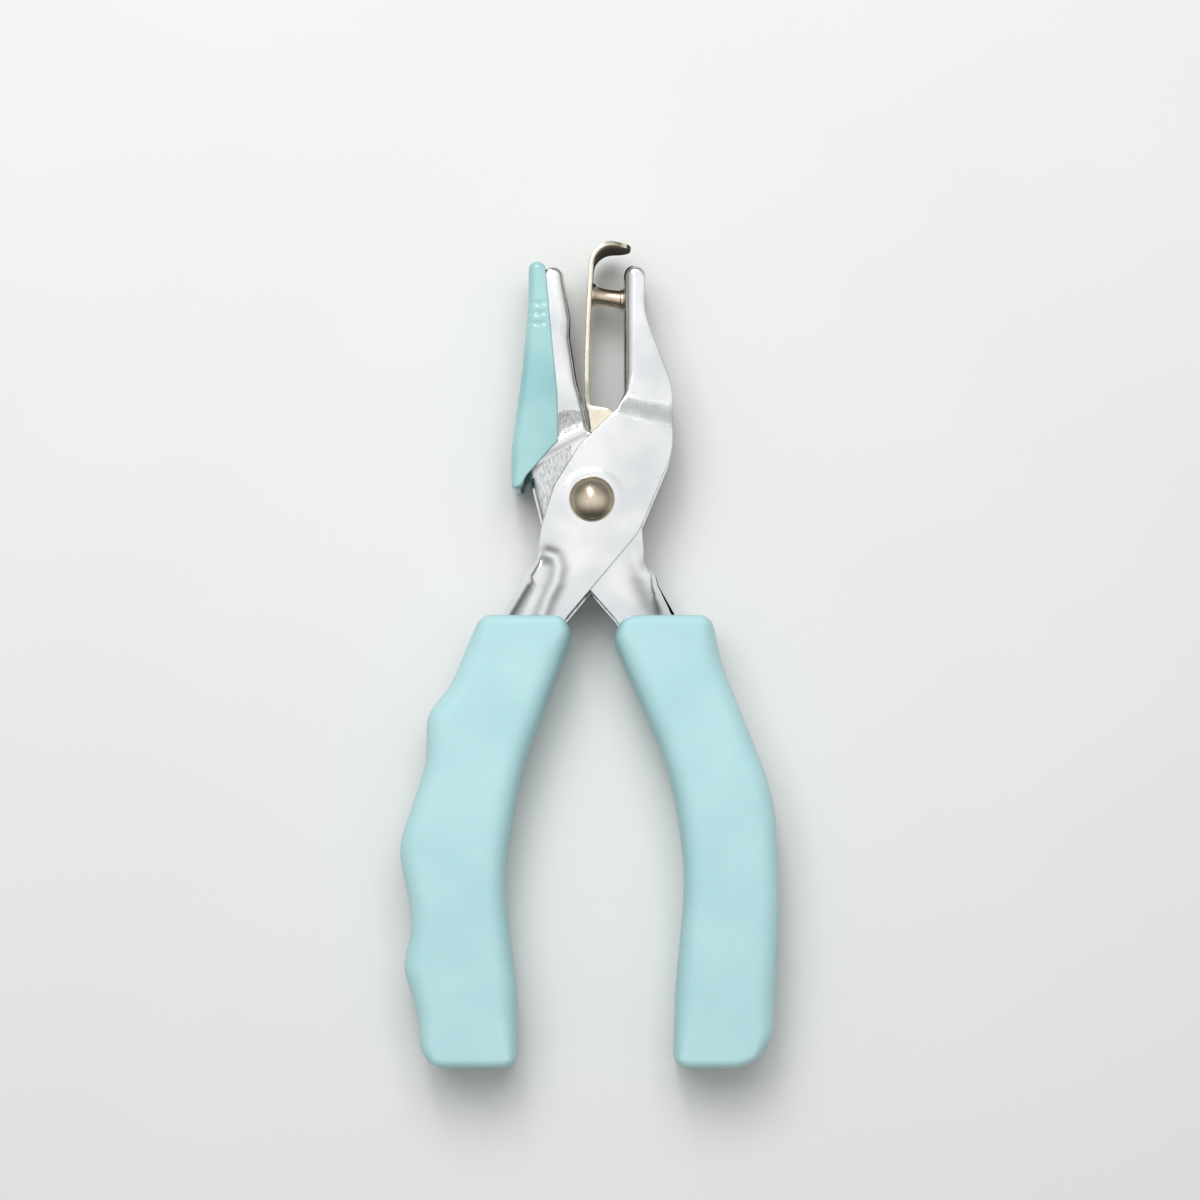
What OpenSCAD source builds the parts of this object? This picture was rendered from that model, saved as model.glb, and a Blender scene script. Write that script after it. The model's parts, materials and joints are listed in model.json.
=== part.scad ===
// Single-hole craft punch, plier type: two pressed-steel arms crossed on one rivet.
// The tool lies flat. Z is the rivet's axis, +Y points to the jaws, and z = 0 is the surface
// that the grips rest on. The modules work about the rivet's axis, at mid thickness.

/* [Handles] */
// Distance from the rivet to the ends of the handles
handle_reach = 106.2; // [90:1:130]
// Distance from the rivet to the top of the grips
grip_top = 21.9; // [19:0.1:26]
// Width over both grips at their widest
handle_span = 70.4; // [64:0.5:86]
// Thickness of the grips
grip_thick = 18; // [17.5:0.5:24]
// How far the tangs reach into the grips
tang_depth = 64; // [40:1:78]
// Height of the stepped rounding at the grips' long edges
grip_edge = 4; // [2:0.5:5]

/* [Jaws] */
// Distance from the rivet to the tip of the punch jaw
jaw_reach = 45; // [43.5:0.1:54]
// Width of both jaws, across the sheet flanges
jaw_width = 12; // [11.6:0.1:15]
// Distance from the rivet's centre line to the punch jaw's face
punch_face = 6.0; // [5.6:0.1:7.2]
// Lean of the die jaw's face
die_lean = 8.8; // [7:0.1:9.5]
// Outer radius of the sheet bends
bend_r = 2.2; // [1.5:0.1:2.6]
// Closing travel of the handles, in degrees
close_angle = 6.6; // [3:0.1:7]

/* [Sheet and rivet] */
// Thickness of the arms' sheet steel
sheet_t = 1.2; // [0.9:0.05:1.5]
// Thickness of the stripper's spring steel
strip_t = 0.8; // [0.6:0.05:1]
// Diameter of the rivet's shank
rivet_d = 5.0; // [4:0.1:6]
// Diameter of the rivet's domed head
head_d = 8.6; // [7.5:0.1:10.5]
// Height of the rivet's domed head
head_h = 2.1; // [1.5:0.1:2.6]

/* [Punch and die] */
// Diameter of the pin's cutting end
pin_d = 4.76; // [3.9:0.01:5.8]
// Distance from the rivet to the pin's seat
pin_reach = 39.1; // [36:0.1:40.5]
// Tilt of the pin against the jaw's face
pin_tilt = 9; // [6:0.5:10]
// Radial clearance of the pin in the die
die_clear = 0.26; // [0.2:0.01:0.4]
// Radial clearance of the pin in the stripper
strip_clear = 0.45; // [0.3:0.01:0.6]

/* [Spring] */
// Diameter of the spring's wire
wire_d = 1.0; // [0.8:0.05:1.2]
// Turns in the spring's coil
coil_turns = 5; // [3:1:6]

/* [Chip catcher] */
// Wall of the chip catcher
catch_wall = 1.0; // [0.8:0.05:1.3]
// Diameter of the catcher's hinge pegs
peg_d = 1.5; // [1.2:0.1:1.8]

/* [Clearances] */
// Gap between plates that slide past each other
side_gap = 0.1; // [0.08:0.01:0.15]
// Radial clearance on the rivet and the pegs
run_gap = 0.05; // [0.02:0.01:0.1]
// Gap around a tang in its grip
grip_gap = 0.1; // [0.05:0.01:0.2]
// Gap between the catcher and the jaw's flanges
catch_gap = 0.12; // [0.1:0.01:0.3]
// Gap between the stripper and the die jaw
rest_gap = 0.12; // [0.1:0.01:0.2]

/* [Hidden] */
$fn = 64;
eps = 0.01;
far = 60;

// Half widths of the nested plates at the rivet, from the inside out
spring_half = 3.3;
ear_in = spring_half + side_gap;
ear_out = ear_in + strip_t;
die_in = ear_out + side_gap;
die_out = die_in + sheet_t;
punch_in = die_out + side_gap;
punch_out = punch_in + sheet_t;
jaw_half = jaw_width / 2;
boss_r = 6.1;
boss_h = 0.2;
boss_z = punch_out + boss_h;

// Height of the flat web-less stretch between the jaws' webs and the rivet
web_low = 18.3;
ear_top = web_low - 0.4;
ear_r = 4.5;
// Where each arm's skins slope from their width at the rivet to the jaw's width
punch_joggle = [15.5, 20.5];
die_joggle = [13.6, 17.4];
web_foot = 14.3;
nose_w = 4.2;
die_nose = jaw_reach - 0.3;
// The die jaw's face passes through this point and leans to the left above it
die_root = [-1.62, 18.3];
strip_foot = [-1.5 + rest_gap, 19];
hook_r = 4.5;
hook_top = jaw_reach + 4.6;
hook_mid = [3.9, hook_top - hook_r];
hook_reach = 7.4;
strip_half = 5.5;

// The die's centre is where the pin's tip arrives when the handles are closed
pin_len = 7.2;
pin_seat = [punch_face, pin_reach];
pin_tip = pin_seat + pin_len * [-cos(pin_tilt), sin(pin_tilt)];
shank_r = 1.5;
collar_h = 0.6;
stake_h = 0.7;
die_r = pin_d / 2 + die_clear;
ring_wall = 0.8;
ring_h = 1.6;

// Chip catcher's hinge, in a lug at the rear of the die jaw's flanges
catch_hinge = [-12.6, 6.3];
lug_r = peg_d / 2 + run_gap + 0.6;
catch_in = jaw_half + catch_gap;
catch_out = catch_in + catch_wall;
catch_top = jaw_reach + 0.5;

sleeve_r = rivet_d / 2 + run_gap + 0.55;
washer_t = 0.55;
tail_h = 0.8;
coil_r = sleeve_r + 0.3 + wire_d / 2;
// Where round the coil the spring's two legs leave it, and their lengths
leg_up_angle = 9.5;
leg_down_angle = -44.5;
leg_up = 16.2;
leg_down = 22.6;

// The grips' outlines are drawn at this span and length, and stretched to the handles' size
drawn_span = 71.2;
drawn_len = 85.3;
spread = handle_span / drawn_span;
// The grips' long edges are an ellipse in four steps, this far in from the side
edge_in = 3.2;
edge_steps = [0, 35, 65, 90];

pivot_x = 0.5;
pivot_y = (handle_reach - hook_top) / 2;
pivot_z = grip_thick / 2;

steel = [0.86, 0.87, 0.88];
bronze = [0.72, 0.64, 0.52];
aqua = [0.69, 0.84, 0.85];
aqua_gloss = [0.56, 0.76, 0.76];

// ---- geometry helpers ----

function turn(p, a) = [p[0] * cos(a) - p[1] * sin(a), p[0] * sin(a) + p[1] * cos(a)];
function xy(p) = [p[0], p[1]];
function unit(v) = v / norm(v);

// A corner of an outline, given as [x, y, radius], becomes an arc of a few points.
// The arc's legs take at most 0.48 of the shorter side.
function corner(a, b, c, steps) =
    let (u = unit(xy(a) - xy(b)), v = unit(xy(c) - xy(b)),
         half = acos(max(-1, min(1, u * v))) / 2,
         room = 0.48 * min(norm(xy(a) - xy(b)), norm(xy(c) - xy(b))),
         leg = min(b[2] / tan(half), room),
         r = leg * tan(half),
         mid = xy(b) + unit(u + v) * r / sin(half),
         from = xy(b) + u * leg - mid,
         side = (u[0] * v[1] - u[1] * v[0]) > 0 ? -1 : 1)
    (b[2] <= 0 || half > 89.5) ? [xy(b)] :
    [for (i = [0:steps]) mid + turn(from, side * i * (180 - 2 * half) / steps)];

function rounded(pts, steps = 6) =
    let (n = len(pts))
    [for (i = [0:n - 1]) each corner(pts[(i + n - 1) % n], pts[i], pts[(i + 1) % n], steps)];

// A point on a handle: x and the drop below the grip's top as drawn, and a radius
function on_handle(p) =
    [p[0] * spread, -grip_top - p[1] * (handle_reach - grip_top) / drawn_len, p[2]];

function handle_pts(pts) = [for (p = pts) on_handle(p)];

// A point on a tang: as on_handle, with the drop as a share of the tang's depth
function on_tang(p, grow) =
    [p[0] * spread + grow, -grip_top - p[1] * tang_depth - (p[1] == 1 ? abs(grow) : 0), p[2]];

function tang_side(pts, grow) = [for (p = pts) on_tang(p, grow)];

module slab(pts, low, high, steps = 6) {
    translate([0, 0, low]) linear_extrude(high - low) polygon(rounded(pts, steps));
}

// Extrudes an outline drawn in Y and Z along X
module side_slab(pts) {
    rotate([90, 0, 90]) linear_extrude(2 * far, center = true) polygon(pts);
}

module both_faces() {
    children();
    mirror([0, 0, 1]) children();
}

// One pressed skin: flat at z_pivot by the rivet and at z_jaw beyond the sloping joggle
module skin(pts, z_pivot, z_jaw, ramp) {
    intersection() {
        slab(pts, 0, 2 * far);
        side_slab([[-2 * handle_reach, z_pivot - sheet_t], [-2 * handle_reach, z_pivot],
                   [ramp[0], z_pivot], [ramp[1], z_jaw], [2 * jaw_reach, z_jaw],
                   [2 * jaw_reach, z_jaw - sheet_t], [ramp[1], z_jaw - sheet_t],
                   [ramp[0], z_pivot - sheet_t]]);
    }
}

// Everything behind a jaw's face, with the two long bends rounded; it leans by lean
module bend_envelope(foot, lean, side, low) {
    both_faces() intersection() {
        translate([foot[0], foot[1], 0]) rotate([0, 0, lean]) mirror([side, 0, 0])
            rotate([90, 0, 0]) linear_extrude(2 * far, center = true)
                polygon(rounded([[0, -1, 0], [far, -1, 0], [far, jaw_half, 0],
                                 [0, jaw_half, bend_r]]));
        translate([-far, low, -1]) cube([2 * far, far, far]);
    }
    translate([-far, -2 * far, -far]) cube([2 * far, 2 * far + low, 2 * far]);
}

// Rounds the tip of a jaw over in Y and Z
module nose_envelope(tip) {
    side_slab(rounded([[-2 * handle_reach, -far, 0], [tip - 14, -far, 0], [tip - 14, -jaw_half, 0],
                       [tip, -jaw_half, bend_r], [tip, jaw_half, bend_r],
                       [tip - 14, jaw_half, 0], [tip - 14, far, 0],
                       [-2 * handle_reach, far, 0]]));
}

// ---- outlines ----

punch_tang_out = [[-17.9, 0.01, 15], [-23.0, 0.2, 30], [-28.2, 0.52, 30], [-29.8, 0.81, 20],
                  [-29.4, 1, 3]];
punch_tang_in = [[-20.4, 1, 3], [-20.4, 0.78, 30], [-17.4, 0.52, 30], [-10.4, 0.17, 20],
                 [-5.0, 0.01, 6]];
die_tang_out = [[16.5, 0.01, 15], [23.0, 0.2, 30], [28.0, 0.52, 30], [29.6, 0.81, 20],
                [29.2, 1, 3]];
die_tang_in = [[20.6, 1, 3], [20.8, 0.78, 30], [18.0, 0.52, 30], [10.9, 0.17, 20],
               [4.4, 0.01, 6]];

function reversed(v) = [for (i = [len(v) - 1:-1:0]) v[i]];

function punch_outline() = concat(
    [[punch_face, jaw_reach, bend_r], [punch_face + nose_w, jaw_reach, bend_r],
     [9.8, jaw_reach - 8.8, 10], [15.3, 21.6, 10], [15.3, 9, 12], [8.9, -6.2, 12]],
    tang_side(reversed(punch_tang_in), 0), tang_side(reversed(punch_tang_out), 0),
    [[-12.6, -13.9, 3], [-10.4, -11.1, 1], [-9.6, -5.2, 12], [-7.2, 2.6, 8], [-2.4, 10.4, 6],
     [4.9, web_low - 0.9, 0.8], [punch_face, web_low + 2.2, 4]]);

function die_outline() = concat(
    [[-8.7, die_nose, 1.5], [die_at(die_nose)[0], die_nose, bend_r], [die_root[0], die_root[1], 2],
     [-0.6, 13.4, 0.6], [7.2, 7.0, 5], [9.3, -2, 8], [9.75, -9, 6], [9.85, -12.3, 1.4],
     [12.1, -13.8, 1], [12.5, -15.8, 2]],
    tang_side(die_tang_out, 0), tang_side(die_tang_in, 0),
    [[-4.5, -12.4, 3], [-9.5, -10.5, 0.8], [-9.5, -5, 8], [-11.0, 1.0, 5], [-11.7, 4.2, 1],
     [-12.2, 11.5, 3], [-11.0, 20, 20], [-10.0, 30, 20], [-9.3, jaw_reach - 6.3, 10]]);

// A point on the die jaw's face at a height y
function die_at(y) = [die_root[0] - (y - die_root[1]) * tan(die_lean), y];

// Where the pin's tip is when the handles are closed, and the die's frame there
tip_closed = turn(pin_tip, close_angle);
die_mid = die_at(tip_closed[1]);

function left_grip_outline(inset = 0) = inset_pts(handle_pts(
    [[-21.2, 0, 2.5], [-26.8, 13.3, 14], [-31.4, 19.0, 6], [-31.4, 28.0, 16],
     [-36.7, 44.2, 12], [-33.7, 58.2, 20], [-35.6, 66.7, 6], [-32.6, 76.1, 20],
     [-32.1, 85.3, 7.5], [-14.2, 85.3, 1.2], [-14.4, 71.1, 30], [-17.0, 49.6, 50],
     [-13.6, 29.6, 60], [-2.5, 0, 3.2]]), inset);

function right_grip_outline(inset = 0) = inset_pts(handle_pts(
    [[2.1, 0, 4.2], [22.8, 0, 2.5], [24.6, 9.1, 20], [34.8, 34.6, 40], [35.4, 56.1, 90],
     [33.9, 85.3, 8], [15.5, 85.3, 1.2], [15.9, 72.1, 35], [18.0, 49.1, 60],
     [15.3, 30.1, 60]]), inset);

// Moves every corner of an outline inwards by the same distance from both of its sides
function inset_pts(pts, d) =
    let (n = len(pts), way = signed_area(pts) > 0 ? 1 : -1)
    [for (i = [0:n - 1])
        let (a = unit(xy(pts[i]) - xy(pts[(i + n - 1) % n])),
             b = unit(xy(pts[(i + 1) % n]) - xy(pts[i])),
             na = way * [-a[1], a[0]], nb = way * [-b[1], b[0]],
             m = (na + nb) / (1 + na * nb))
        [pts[i][0] + d * m[0], pts[i][1] + d * m[1], max(0.3, pts[i][2] - d)]];

function signed_area(pts) =
    let (n = len(pts))
    sum([for (i = [0:n - 1])
        let (a = pts[i], b = pts[(i + 1) % n]) (a[0] * b[1] - a[1] * b[0]) / 2]);

function sum(v, i = 0) = i >= len(v) ? 0 : v[i] + sum(v, i + 1);

// ---- arms ----

module punch_arm() {
    face_low = web_low;
    color(steel) difference() {
        union() {
            intersection() {
                union() {
                    both_faces() skin(punch_outline(), punch_out, jaw_half, punch_joggle);
                    // web along the jaw's face, and the wall across its tip
                    intersection() {
                        slab(punch_outline(), -jaw_half, jaw_half);
                        union() {
                            translate([0, face_low, -far]) cube([punch_face + sheet_t, far, 2 * far]);
                            translate([0, jaw_reach - sheet_t, -far]) cube([far, far, 2 * far]);
                        }
                    }
                }
                bend_envelope([punch_face, 0], 0, 0, face_low);
                nose_envelope(jaw_reach);
            }
            // web along the outer side of the left handle
            slab(tang_web(punch_tang_out, [[-12.6, -13.9, 3], [-10.4, -11.1, 0]], 1),
                 -punch_out + eps, punch_out - eps);
            // coined boss under each end of the rivet
            both_faces() translate([0, 0, punch_out - eps]) cylinder(r = boss_r, h = boss_h + eps);
        }
        cylinder(d = rivet_d + 2 * run_gap, h = 2 * far, center = true);
        translate([punch_face - far / 2, pin_reach, 0]) rotate([0, 90, 0])
            cylinder(r = shank_r + run_gap, h = far);
    }
}

// A strip one sheet thick along a tang's outer side, which stops short of the tang's end;
// side is 1 on the left and -1 on the right
function tang_web(outer, top, side) =
    let (edge = [for (i = [0:len(outer) - 2]) on_tang(outer[i], 0)])
    concat(
        reversed(edge), top,
        [for (p = reversed(top)) [p[0] + side * sheet_t * 1.2, p[1], p[2]]],
        [for (p = edge) [p[0] + side * sheet_t, p[1], p[2]]]);

module die_arm() {
    color(steel) difference() {
        union() {
            intersection() {
                union() {
                    both_faces() {
                        skin(die_outline(), die_out, jaw_half, die_joggle);
                        translate([catch_hinge[0], catch_hinge[1], die_out - sheet_t])
                            lug();
                    }
                    intersection() {
                        slab(die_outline(), -jaw_half, jaw_half);
                        union() {
                            die_web();
                            translate([-far, die_nose - sheet_t, -far]) cube([far, far, 2 * far]);
                        }
                    }
                }
                bend_envelope(die_root, die_lean, 1, 15);
                nose_envelope(die_nose);
            }
            slab(tang_web(die_tang_out, [[12.5, -15.8, 2], [12.1, -13.8, 0]], -1),
                 -die_out + eps, die_out - eps);
            // heel wall, which meets the left handle's web and stops the tool opening further
            slab([[-9.5, -10.5, 0], [-9.5, -5, 8], [-11.0, 1.0, 5], [-11.7, 4.2, 0],
                  [-11.7 + sheet_t, 4.4, 0], [-11.0 + sheet_t, 1.4, 5], [-9.5 + sheet_t, -4.8, 8],
                  [-9.5 + sheet_t, -10.5, 0]], -die_out + eps, die_out - eps);
        }
        cylinder(d = rivet_d + 2 * run_gap, h = 2 * far, center = true);
        translate([catch_hinge[0], catch_hinge[1], 0])
            cylinder(r = peg_d / 2 + run_gap, h = 2 * far, center = true);
        at_die() cylinder(r = die_r + ring_wall, h = 8, center = true);
    }
}

// The lug that holds the catcher's peg, tied to the flange by a short neck
module lug() {
    cylinder(r = lug_r, h = sheet_t);
    translate([0, -lug_r, 0]) cube([1.6, 2 * lug_r, sheet_t]);
}

// The web behind the die jaw's face
module die_web() {
    intersection() {
        translate([die_root[0], die_root[1], 0]) rotate([0, 0, die_lean])
            translate([-sheet_t, -20, -far]) cube([far, 2 * far, 2 * far]);
        translate([-far, web_foot, -far]) cube([2 * far, far, 2 * far]);
    }
}

// Origin on the die jaw's face at the die's centre, with Z along the die's axis, outwards
module at_die() {
    translate([die_mid[0], die_mid[1], 0]) rotate([0, 0, die_lean]) rotate([0, 90, 0]) children();
}

module die_ring() {
    color(steel) at_die() translate([0, 0, -ring_h]) difference() {
        cylinder(r = die_r + ring_wall - eps, h = ring_h);
        translate([0, 0, -1]) cylinder(r = die_r, h = ring_h + 2);
    }
}

// ---- pin, stripper ----

module punch_pin() {
    color(bronze) {
        // collar against the web, shank through it and staked head behind it
        translate([punch_face, pin_reach, 0]) rotate([0, -90, 0]) {
            cylinder(r = 2.4, h = collar_h);
            translate([0, 0, -sheet_t - eps]) cylinder(r = shank_r, h = sheet_t + 2 * eps);
            translate([0, 0, -sheet_t - stake_h]) cylinder(r1 = 1.9, r2 = 2.3, h = stake_h);
        }
        // waisted body, leaning up towards its cutting end
        translate([punch_face, pin_reach, 0]) rotate([0, 0, -pin_tilt]) rotate([0, -90, 0])
            rotate_extrude() polygon(concat(
                [[0, 0.25], [1.6, 0.25], [1.6, 0.9]],
                [for (i = [0:8]) [waist(i / 8), 1.0 + i / 8 * (pin_len - 1.7)]],
                [[pin_d / 2, pin_len - 0.55], [pin_d / 2, pin_len], [0, pin_len]]));
    }
}

// Radius along the pin's body: full near the web, narrow before the flare at the cutting end
function waist(s) = 1.88 - 0.1 * sin(180 * s) + (pin_d / 2 - 2.1) * pow(s, 5);

module stripper_strip() {
    lean = atan2(hook_mid[0] - hook_r - strip_foot[0], hook_mid[1] - strip_foot[1]);
    color(bronze) difference() {
        union() {
            intersection() {
                translate([0, 0, -strip_half]) linear_extrude(2 * strip_half) polygon(band());
                // narrower between the ears, full width from above them, rounded at the tip
                side_slab([[0, -ear_out], [ear_top + 0.6, -ear_out], [ear_top + 5, -strip_half],
                           [hook_top + 1, -strip_half], [hook_top + 1, strip_half],
                           [ear_top + 5, strip_half], [ear_top + 0.6, ear_out], [0, ear_out]]);
                union() {
                    translate([hook_reach - strip_half, 0, 0]) rotate([-90, 0, 0])
                        cylinder(r = strip_half, h = far);
                    translate([-far, 0, -far]) cube([far + hook_reach - strip_half, far, 2 * far]);
                }
            }
            // ears that ride on the rivet, each side of the spring
            both_faces() translate([0, 0, ear_in]) {
                cylinder(r = ear_r, h = strip_t);
                linear_extrude(strip_t) polygon(rounded(
                    [[-1.0, ear_top, 0.5], [4.5, ear_top, 1.2], [ear_r, 4, 4], [ear_r - 0.2, -0.5, 0],
                     [-ear_r + 0.1, 0.5, 0], [-0.35 + rest_gap, 13.2, 3]]));
            }
        }
        cylinder(d = rivet_d + 2 * run_gap, h = 2 * far, center = true);
        translate([pin_tip[0] - 3, pin_at_strip(), 0]) rotate([0, 90, 0])
            cylinder(r = pin_d / 2 + strip_clear, h = 6);
    }
}

// Height of the hole that the pin passes through, between its open and closed places
function pin_at_strip() = pin_tip[1] - 0.3;

// The band's outline: up from the ears, over the hook and back along its inner side
function band() = concat(
    [[-0.1, 15.0], [-1.0, ear_top], [strip_foot[0], strip_foot[1] + 1]],
    [for (a = [180:-10:90]) hook_mid + hook_r * [cos(a), sin(a)]],
    [[hook_reach, hook_top - 0.25], [hook_reach, hook_top - 0.25 - strip_t]],
    [for (a = [90:10:180]) hook_mid + (hook_r - strip_t) * [cos(a), sin(a)]],
    [[strip_foot[0] + strip_t, strip_foot[1] + 1], [-1.0 + strip_t, ear_top], [0.7, 15.0]]);

// ---- rivet, sleeve, washer, spring ----

module pivot_rivet() {
    cap_r = (head_d * head_d / 4 + head_h * head_h) / (2 * head_h);
    color(bronze) {
        translate([0, 0, -boss_z - washer_t - 2 * run_gap])
            cylinder(d = rivet_d, h = 2 * boss_z + washer_t + 4 * run_gap);
        // domed head, a cap of a sphere
        translate([0, 0, boss_z + run_gap]) intersection() {
            translate([0, 0, head_h - cap_r]) sphere(r = cap_r, $fn = 96);
            cylinder(d = head_d, h = head_h + 1);
        }
        translate([0, 0, -boss_z - washer_t - run_gap - tail_h])
            cylinder(r1 = 2.6, r2 = 3.4, h = tail_h);
    }
}

module rivet_washer() {
    color(bronze) translate([0, 0, -boss_z - washer_t - run_gap / 2]) difference() {
        cylinder(r = 3.9, h = washer_t);
        translate([0, 0, -1]) cylinder(d = rivet_d + 2 * run_gap, h = washer_t + 2);
    }
}

module spring_sleeve() {
    color(steel) difference() {
        cylinder(r = sleeve_r, h = 2 * spring_half, center = true);
        cylinder(d = rivet_d + 2 * run_gap, h = 4 * spring_half, center = true);
    }
}

// The spring's wire: down the leg on the stripper, round the coil, out along the handle's leg
module torsion_spring() {
    color(steel) tube(spring_path(), wire_d / 2, 8);
}

function spring_path() =
    let (turned = 360 * coil_turns + leg_up_angle - leg_down_angle,
         steps = 16 * (coil_turns + 1),
         rise = 2 * spring_half - wire_d - 0.1,
         start = coil_r * [cos(leg_up_angle), sin(leg_up_angle)],
         end = coil_r * [cos(leg_down_angle), sin(leg_down_angle)],
         up = [-sin(leg_up_angle), cos(leg_up_angle)],
         down = [sin(leg_down_angle), -cos(leg_down_angle)])
    concat(
        [[start[0] + leg_up * up[0], start[1] + leg_up * up[1], rise / 2],
         [start[0] + 0.5 * up[0], start[1] + 0.5 * up[1], rise / 2]],
        [for (i = [0:steps]) let (a = leg_up_angle - turned * i / steps)
            [coil_r * cos(a), coil_r * sin(a), rise / 2 - rise * i / steps]],
        [[end[0] + 0.5 * down[0], end[1] + 0.5 * down[1], -rise / 2],
         [end[0] + leg_down * down[0], end[1] + leg_down * down[1], -rise / 2]]);

// A closed tube of n sides swept along a path that stays close to the XY plane
module tube(path, r, n) {
    last = len(path) - 1;
    rings = [for (i = [0:last])
        let (d = unit(path[min(last, i + 1)] - path[max(0, i - 1)]),
             side = unit(cross(d, [0, 0, 1])), over = cross(side, d))
        each [for (k = [0:n - 1]) path[i] + r * (cos(360 * k / n) * side + sin(360 * k / n) * over)]];
    polyhedron(
        points = rings,
        faces = concat(
            [[for (k = [0:n - 1]) k]],
            [for (i = [0:last - 1], k = [0:n - 1])
                [i * n + k, (i + 1) * n + k, (i + 1) * n + (k + 1) % n, i * n + (k + 1) % n]],
            [[for (k = [n - 1:-1:0]) last * n + k]]));
}

// ---- chip catcher ----

function catch_outline() =
    [[-12.0, catch_top, 2.2], [-8.9, catch_top, 1.5], [-8.5, jaw_reach - 4.3, 8],
     [-7.4, 28.8, 20], [-6.5, 20, 20], [-6.4, 11.2, 1.0], [-12.5, 4.3, 2], [-14.2, 1.6, 1.4],
     [-15.5, 3.2, 2], [-15.2, 9, 20], [-13.3, 24, 40], [-12.1, jaw_reach - 8, 20]];

// The space inside, open on the side of the jaw
function catch_cavity() =
    let (w = catch_wall)
    [[-13.4, 0, 0], [-13.4, 1.8 + w, 0.3], [-15.4 + w, 2.6 + w, 1], [-15.2 + w, 9, 20],
     [-13.3 + w, 24, 40], [-12.1 + w, jaw_reach - 8, 20], [-12.0 + w, catch_top - w, 1.2],
     [-4, catch_top - w, 0], [-4, 0, 0]];

module chip_catcher() {
    color(aqua_gloss) {
        difference() {
            slab(catch_outline(), -catch_out, catch_out);
            slab(catch_cavity(), -catch_in, catch_in);
            // three grip grooves across each face, near the tip
            both_faces() for (i = [0:2])
                translate([-14, jaw_reach - 11.7 + 1.9 * i, catch_out - 0.2]) cube([8, 0.7, 1]);
        }
        both_faces() translate([catch_hinge[0], catch_hinge[1], die_in + 0.15])
            cylinder(d = peg_d, h = catch_out - die_in - 0.3);
    }
}

// ---- grips ----

// A handle grip: layers stepped in towards both faces, with a slot for each skin of the tang
module grip(layers, outer, inner, side, skin_in, skin_out) {
    difference() {
        union() for (i = [0:len(layers) - 1])
            slab(layers[i], -grip_thick / 2 + edge_drop(i), grip_thick / 2 - edge_drop(i), 3);
        difference() {
            slab(pocket_pts(outer, inner, side), -skin_out - grip_gap, skin_out + grip_gap);
            slab(core_pts(outer, inner, side), -skin_in + grip_gap, skin_in - grip_gap);
        }
    }
}

// How far each layer's faces are lowered, and how far its outline is set in
function edge_drop(i) = grip_edge * (1 - sin(edge_steps[i]));
function edge_inset(i) = edge_in * (1 - cos(edge_steps[i]));

// The room that the tang takes, grown by the fit and open at the top of the grip
function pocket_pts(outer, inner, side) = concat(
    [[outer[0][0] * spread - side * (grip_gap + 0.2) + side * 2.2, -grip_top + 4, 0]],
    tang_side(outer, -side * grip_gap), tang_side(inner, side * grip_gap),
    [[inner[len(inner) - 1][0] * spread + side * grip_gap + side * 3, -grip_top + 4, 0]]);

// The grip's own core, between the tang's skins and inside its web
function core_pts(outer, inner, side) = concat(
    tang_side(outer, side * (sheet_t + grip_gap)), tang_side(inner, side * (sheet_t + grip_gap)));

module left_grip() {
    color(aqua) grip([for (i = [0:3]) left_grip_outline(edge_inset(i))],
                     punch_tang_out, punch_tang_in, 1, punch_in, punch_out);
}

module right_grip() {
    color(aqua) grip([for (i = [0:3]) right_grip_outline(edge_inset(i))],
                     die_tang_out, die_tang_in, -1, die_in, die_out);
}

module placed() {
    translate([pivot_x, pivot_y, pivot_z]) children();
}

placed() punch_arm();
placed() die_arm();
placed() left_grip();
placed() right_grip();
placed() pivot_rivet();
placed() rivet_washer();
placed() spring_sleeve();
placed() torsion_spring();
placed() punch_pin();
placed() die_ring();
placed() stripper_strip();
placed() chip_catcher();
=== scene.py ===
"""Looks of the plier-type craft punch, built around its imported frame.

Sizes are in millimetres about the rivet's axis at the tool's mid thickness, with X to the punch jaw's
side, Y to the jaws and Z out of the rivet's domed head. Meshes are written in metres in the row frame.
"""
import json
import logging
import math
from collections.abc import Callable, Sequence
from dataclasses import dataclass, field
from enum import Enum
from typing import NamedTuple

import bmesh
import bpy
import numpy as np
from mathutils import Matrix, Vector
from mathutils.geometry import delaunay_2d_cdt


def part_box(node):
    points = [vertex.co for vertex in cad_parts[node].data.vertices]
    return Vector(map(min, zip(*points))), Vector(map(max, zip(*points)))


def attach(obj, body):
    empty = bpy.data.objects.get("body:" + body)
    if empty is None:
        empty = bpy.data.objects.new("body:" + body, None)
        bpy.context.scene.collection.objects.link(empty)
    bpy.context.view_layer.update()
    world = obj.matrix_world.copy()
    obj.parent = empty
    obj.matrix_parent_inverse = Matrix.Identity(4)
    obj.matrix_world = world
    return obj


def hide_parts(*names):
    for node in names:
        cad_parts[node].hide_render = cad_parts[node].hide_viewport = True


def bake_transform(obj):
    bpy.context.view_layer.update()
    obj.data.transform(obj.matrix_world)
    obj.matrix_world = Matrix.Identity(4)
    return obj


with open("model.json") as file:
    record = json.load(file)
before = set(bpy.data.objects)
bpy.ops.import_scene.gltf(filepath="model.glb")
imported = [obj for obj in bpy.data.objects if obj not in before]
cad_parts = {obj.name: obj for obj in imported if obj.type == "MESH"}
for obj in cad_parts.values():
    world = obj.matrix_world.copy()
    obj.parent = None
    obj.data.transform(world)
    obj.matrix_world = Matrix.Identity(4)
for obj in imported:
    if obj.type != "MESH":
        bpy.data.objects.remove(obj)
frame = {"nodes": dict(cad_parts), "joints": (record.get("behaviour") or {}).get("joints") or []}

log = logging.getLogger("craft_punch")
MM = 0.001
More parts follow.
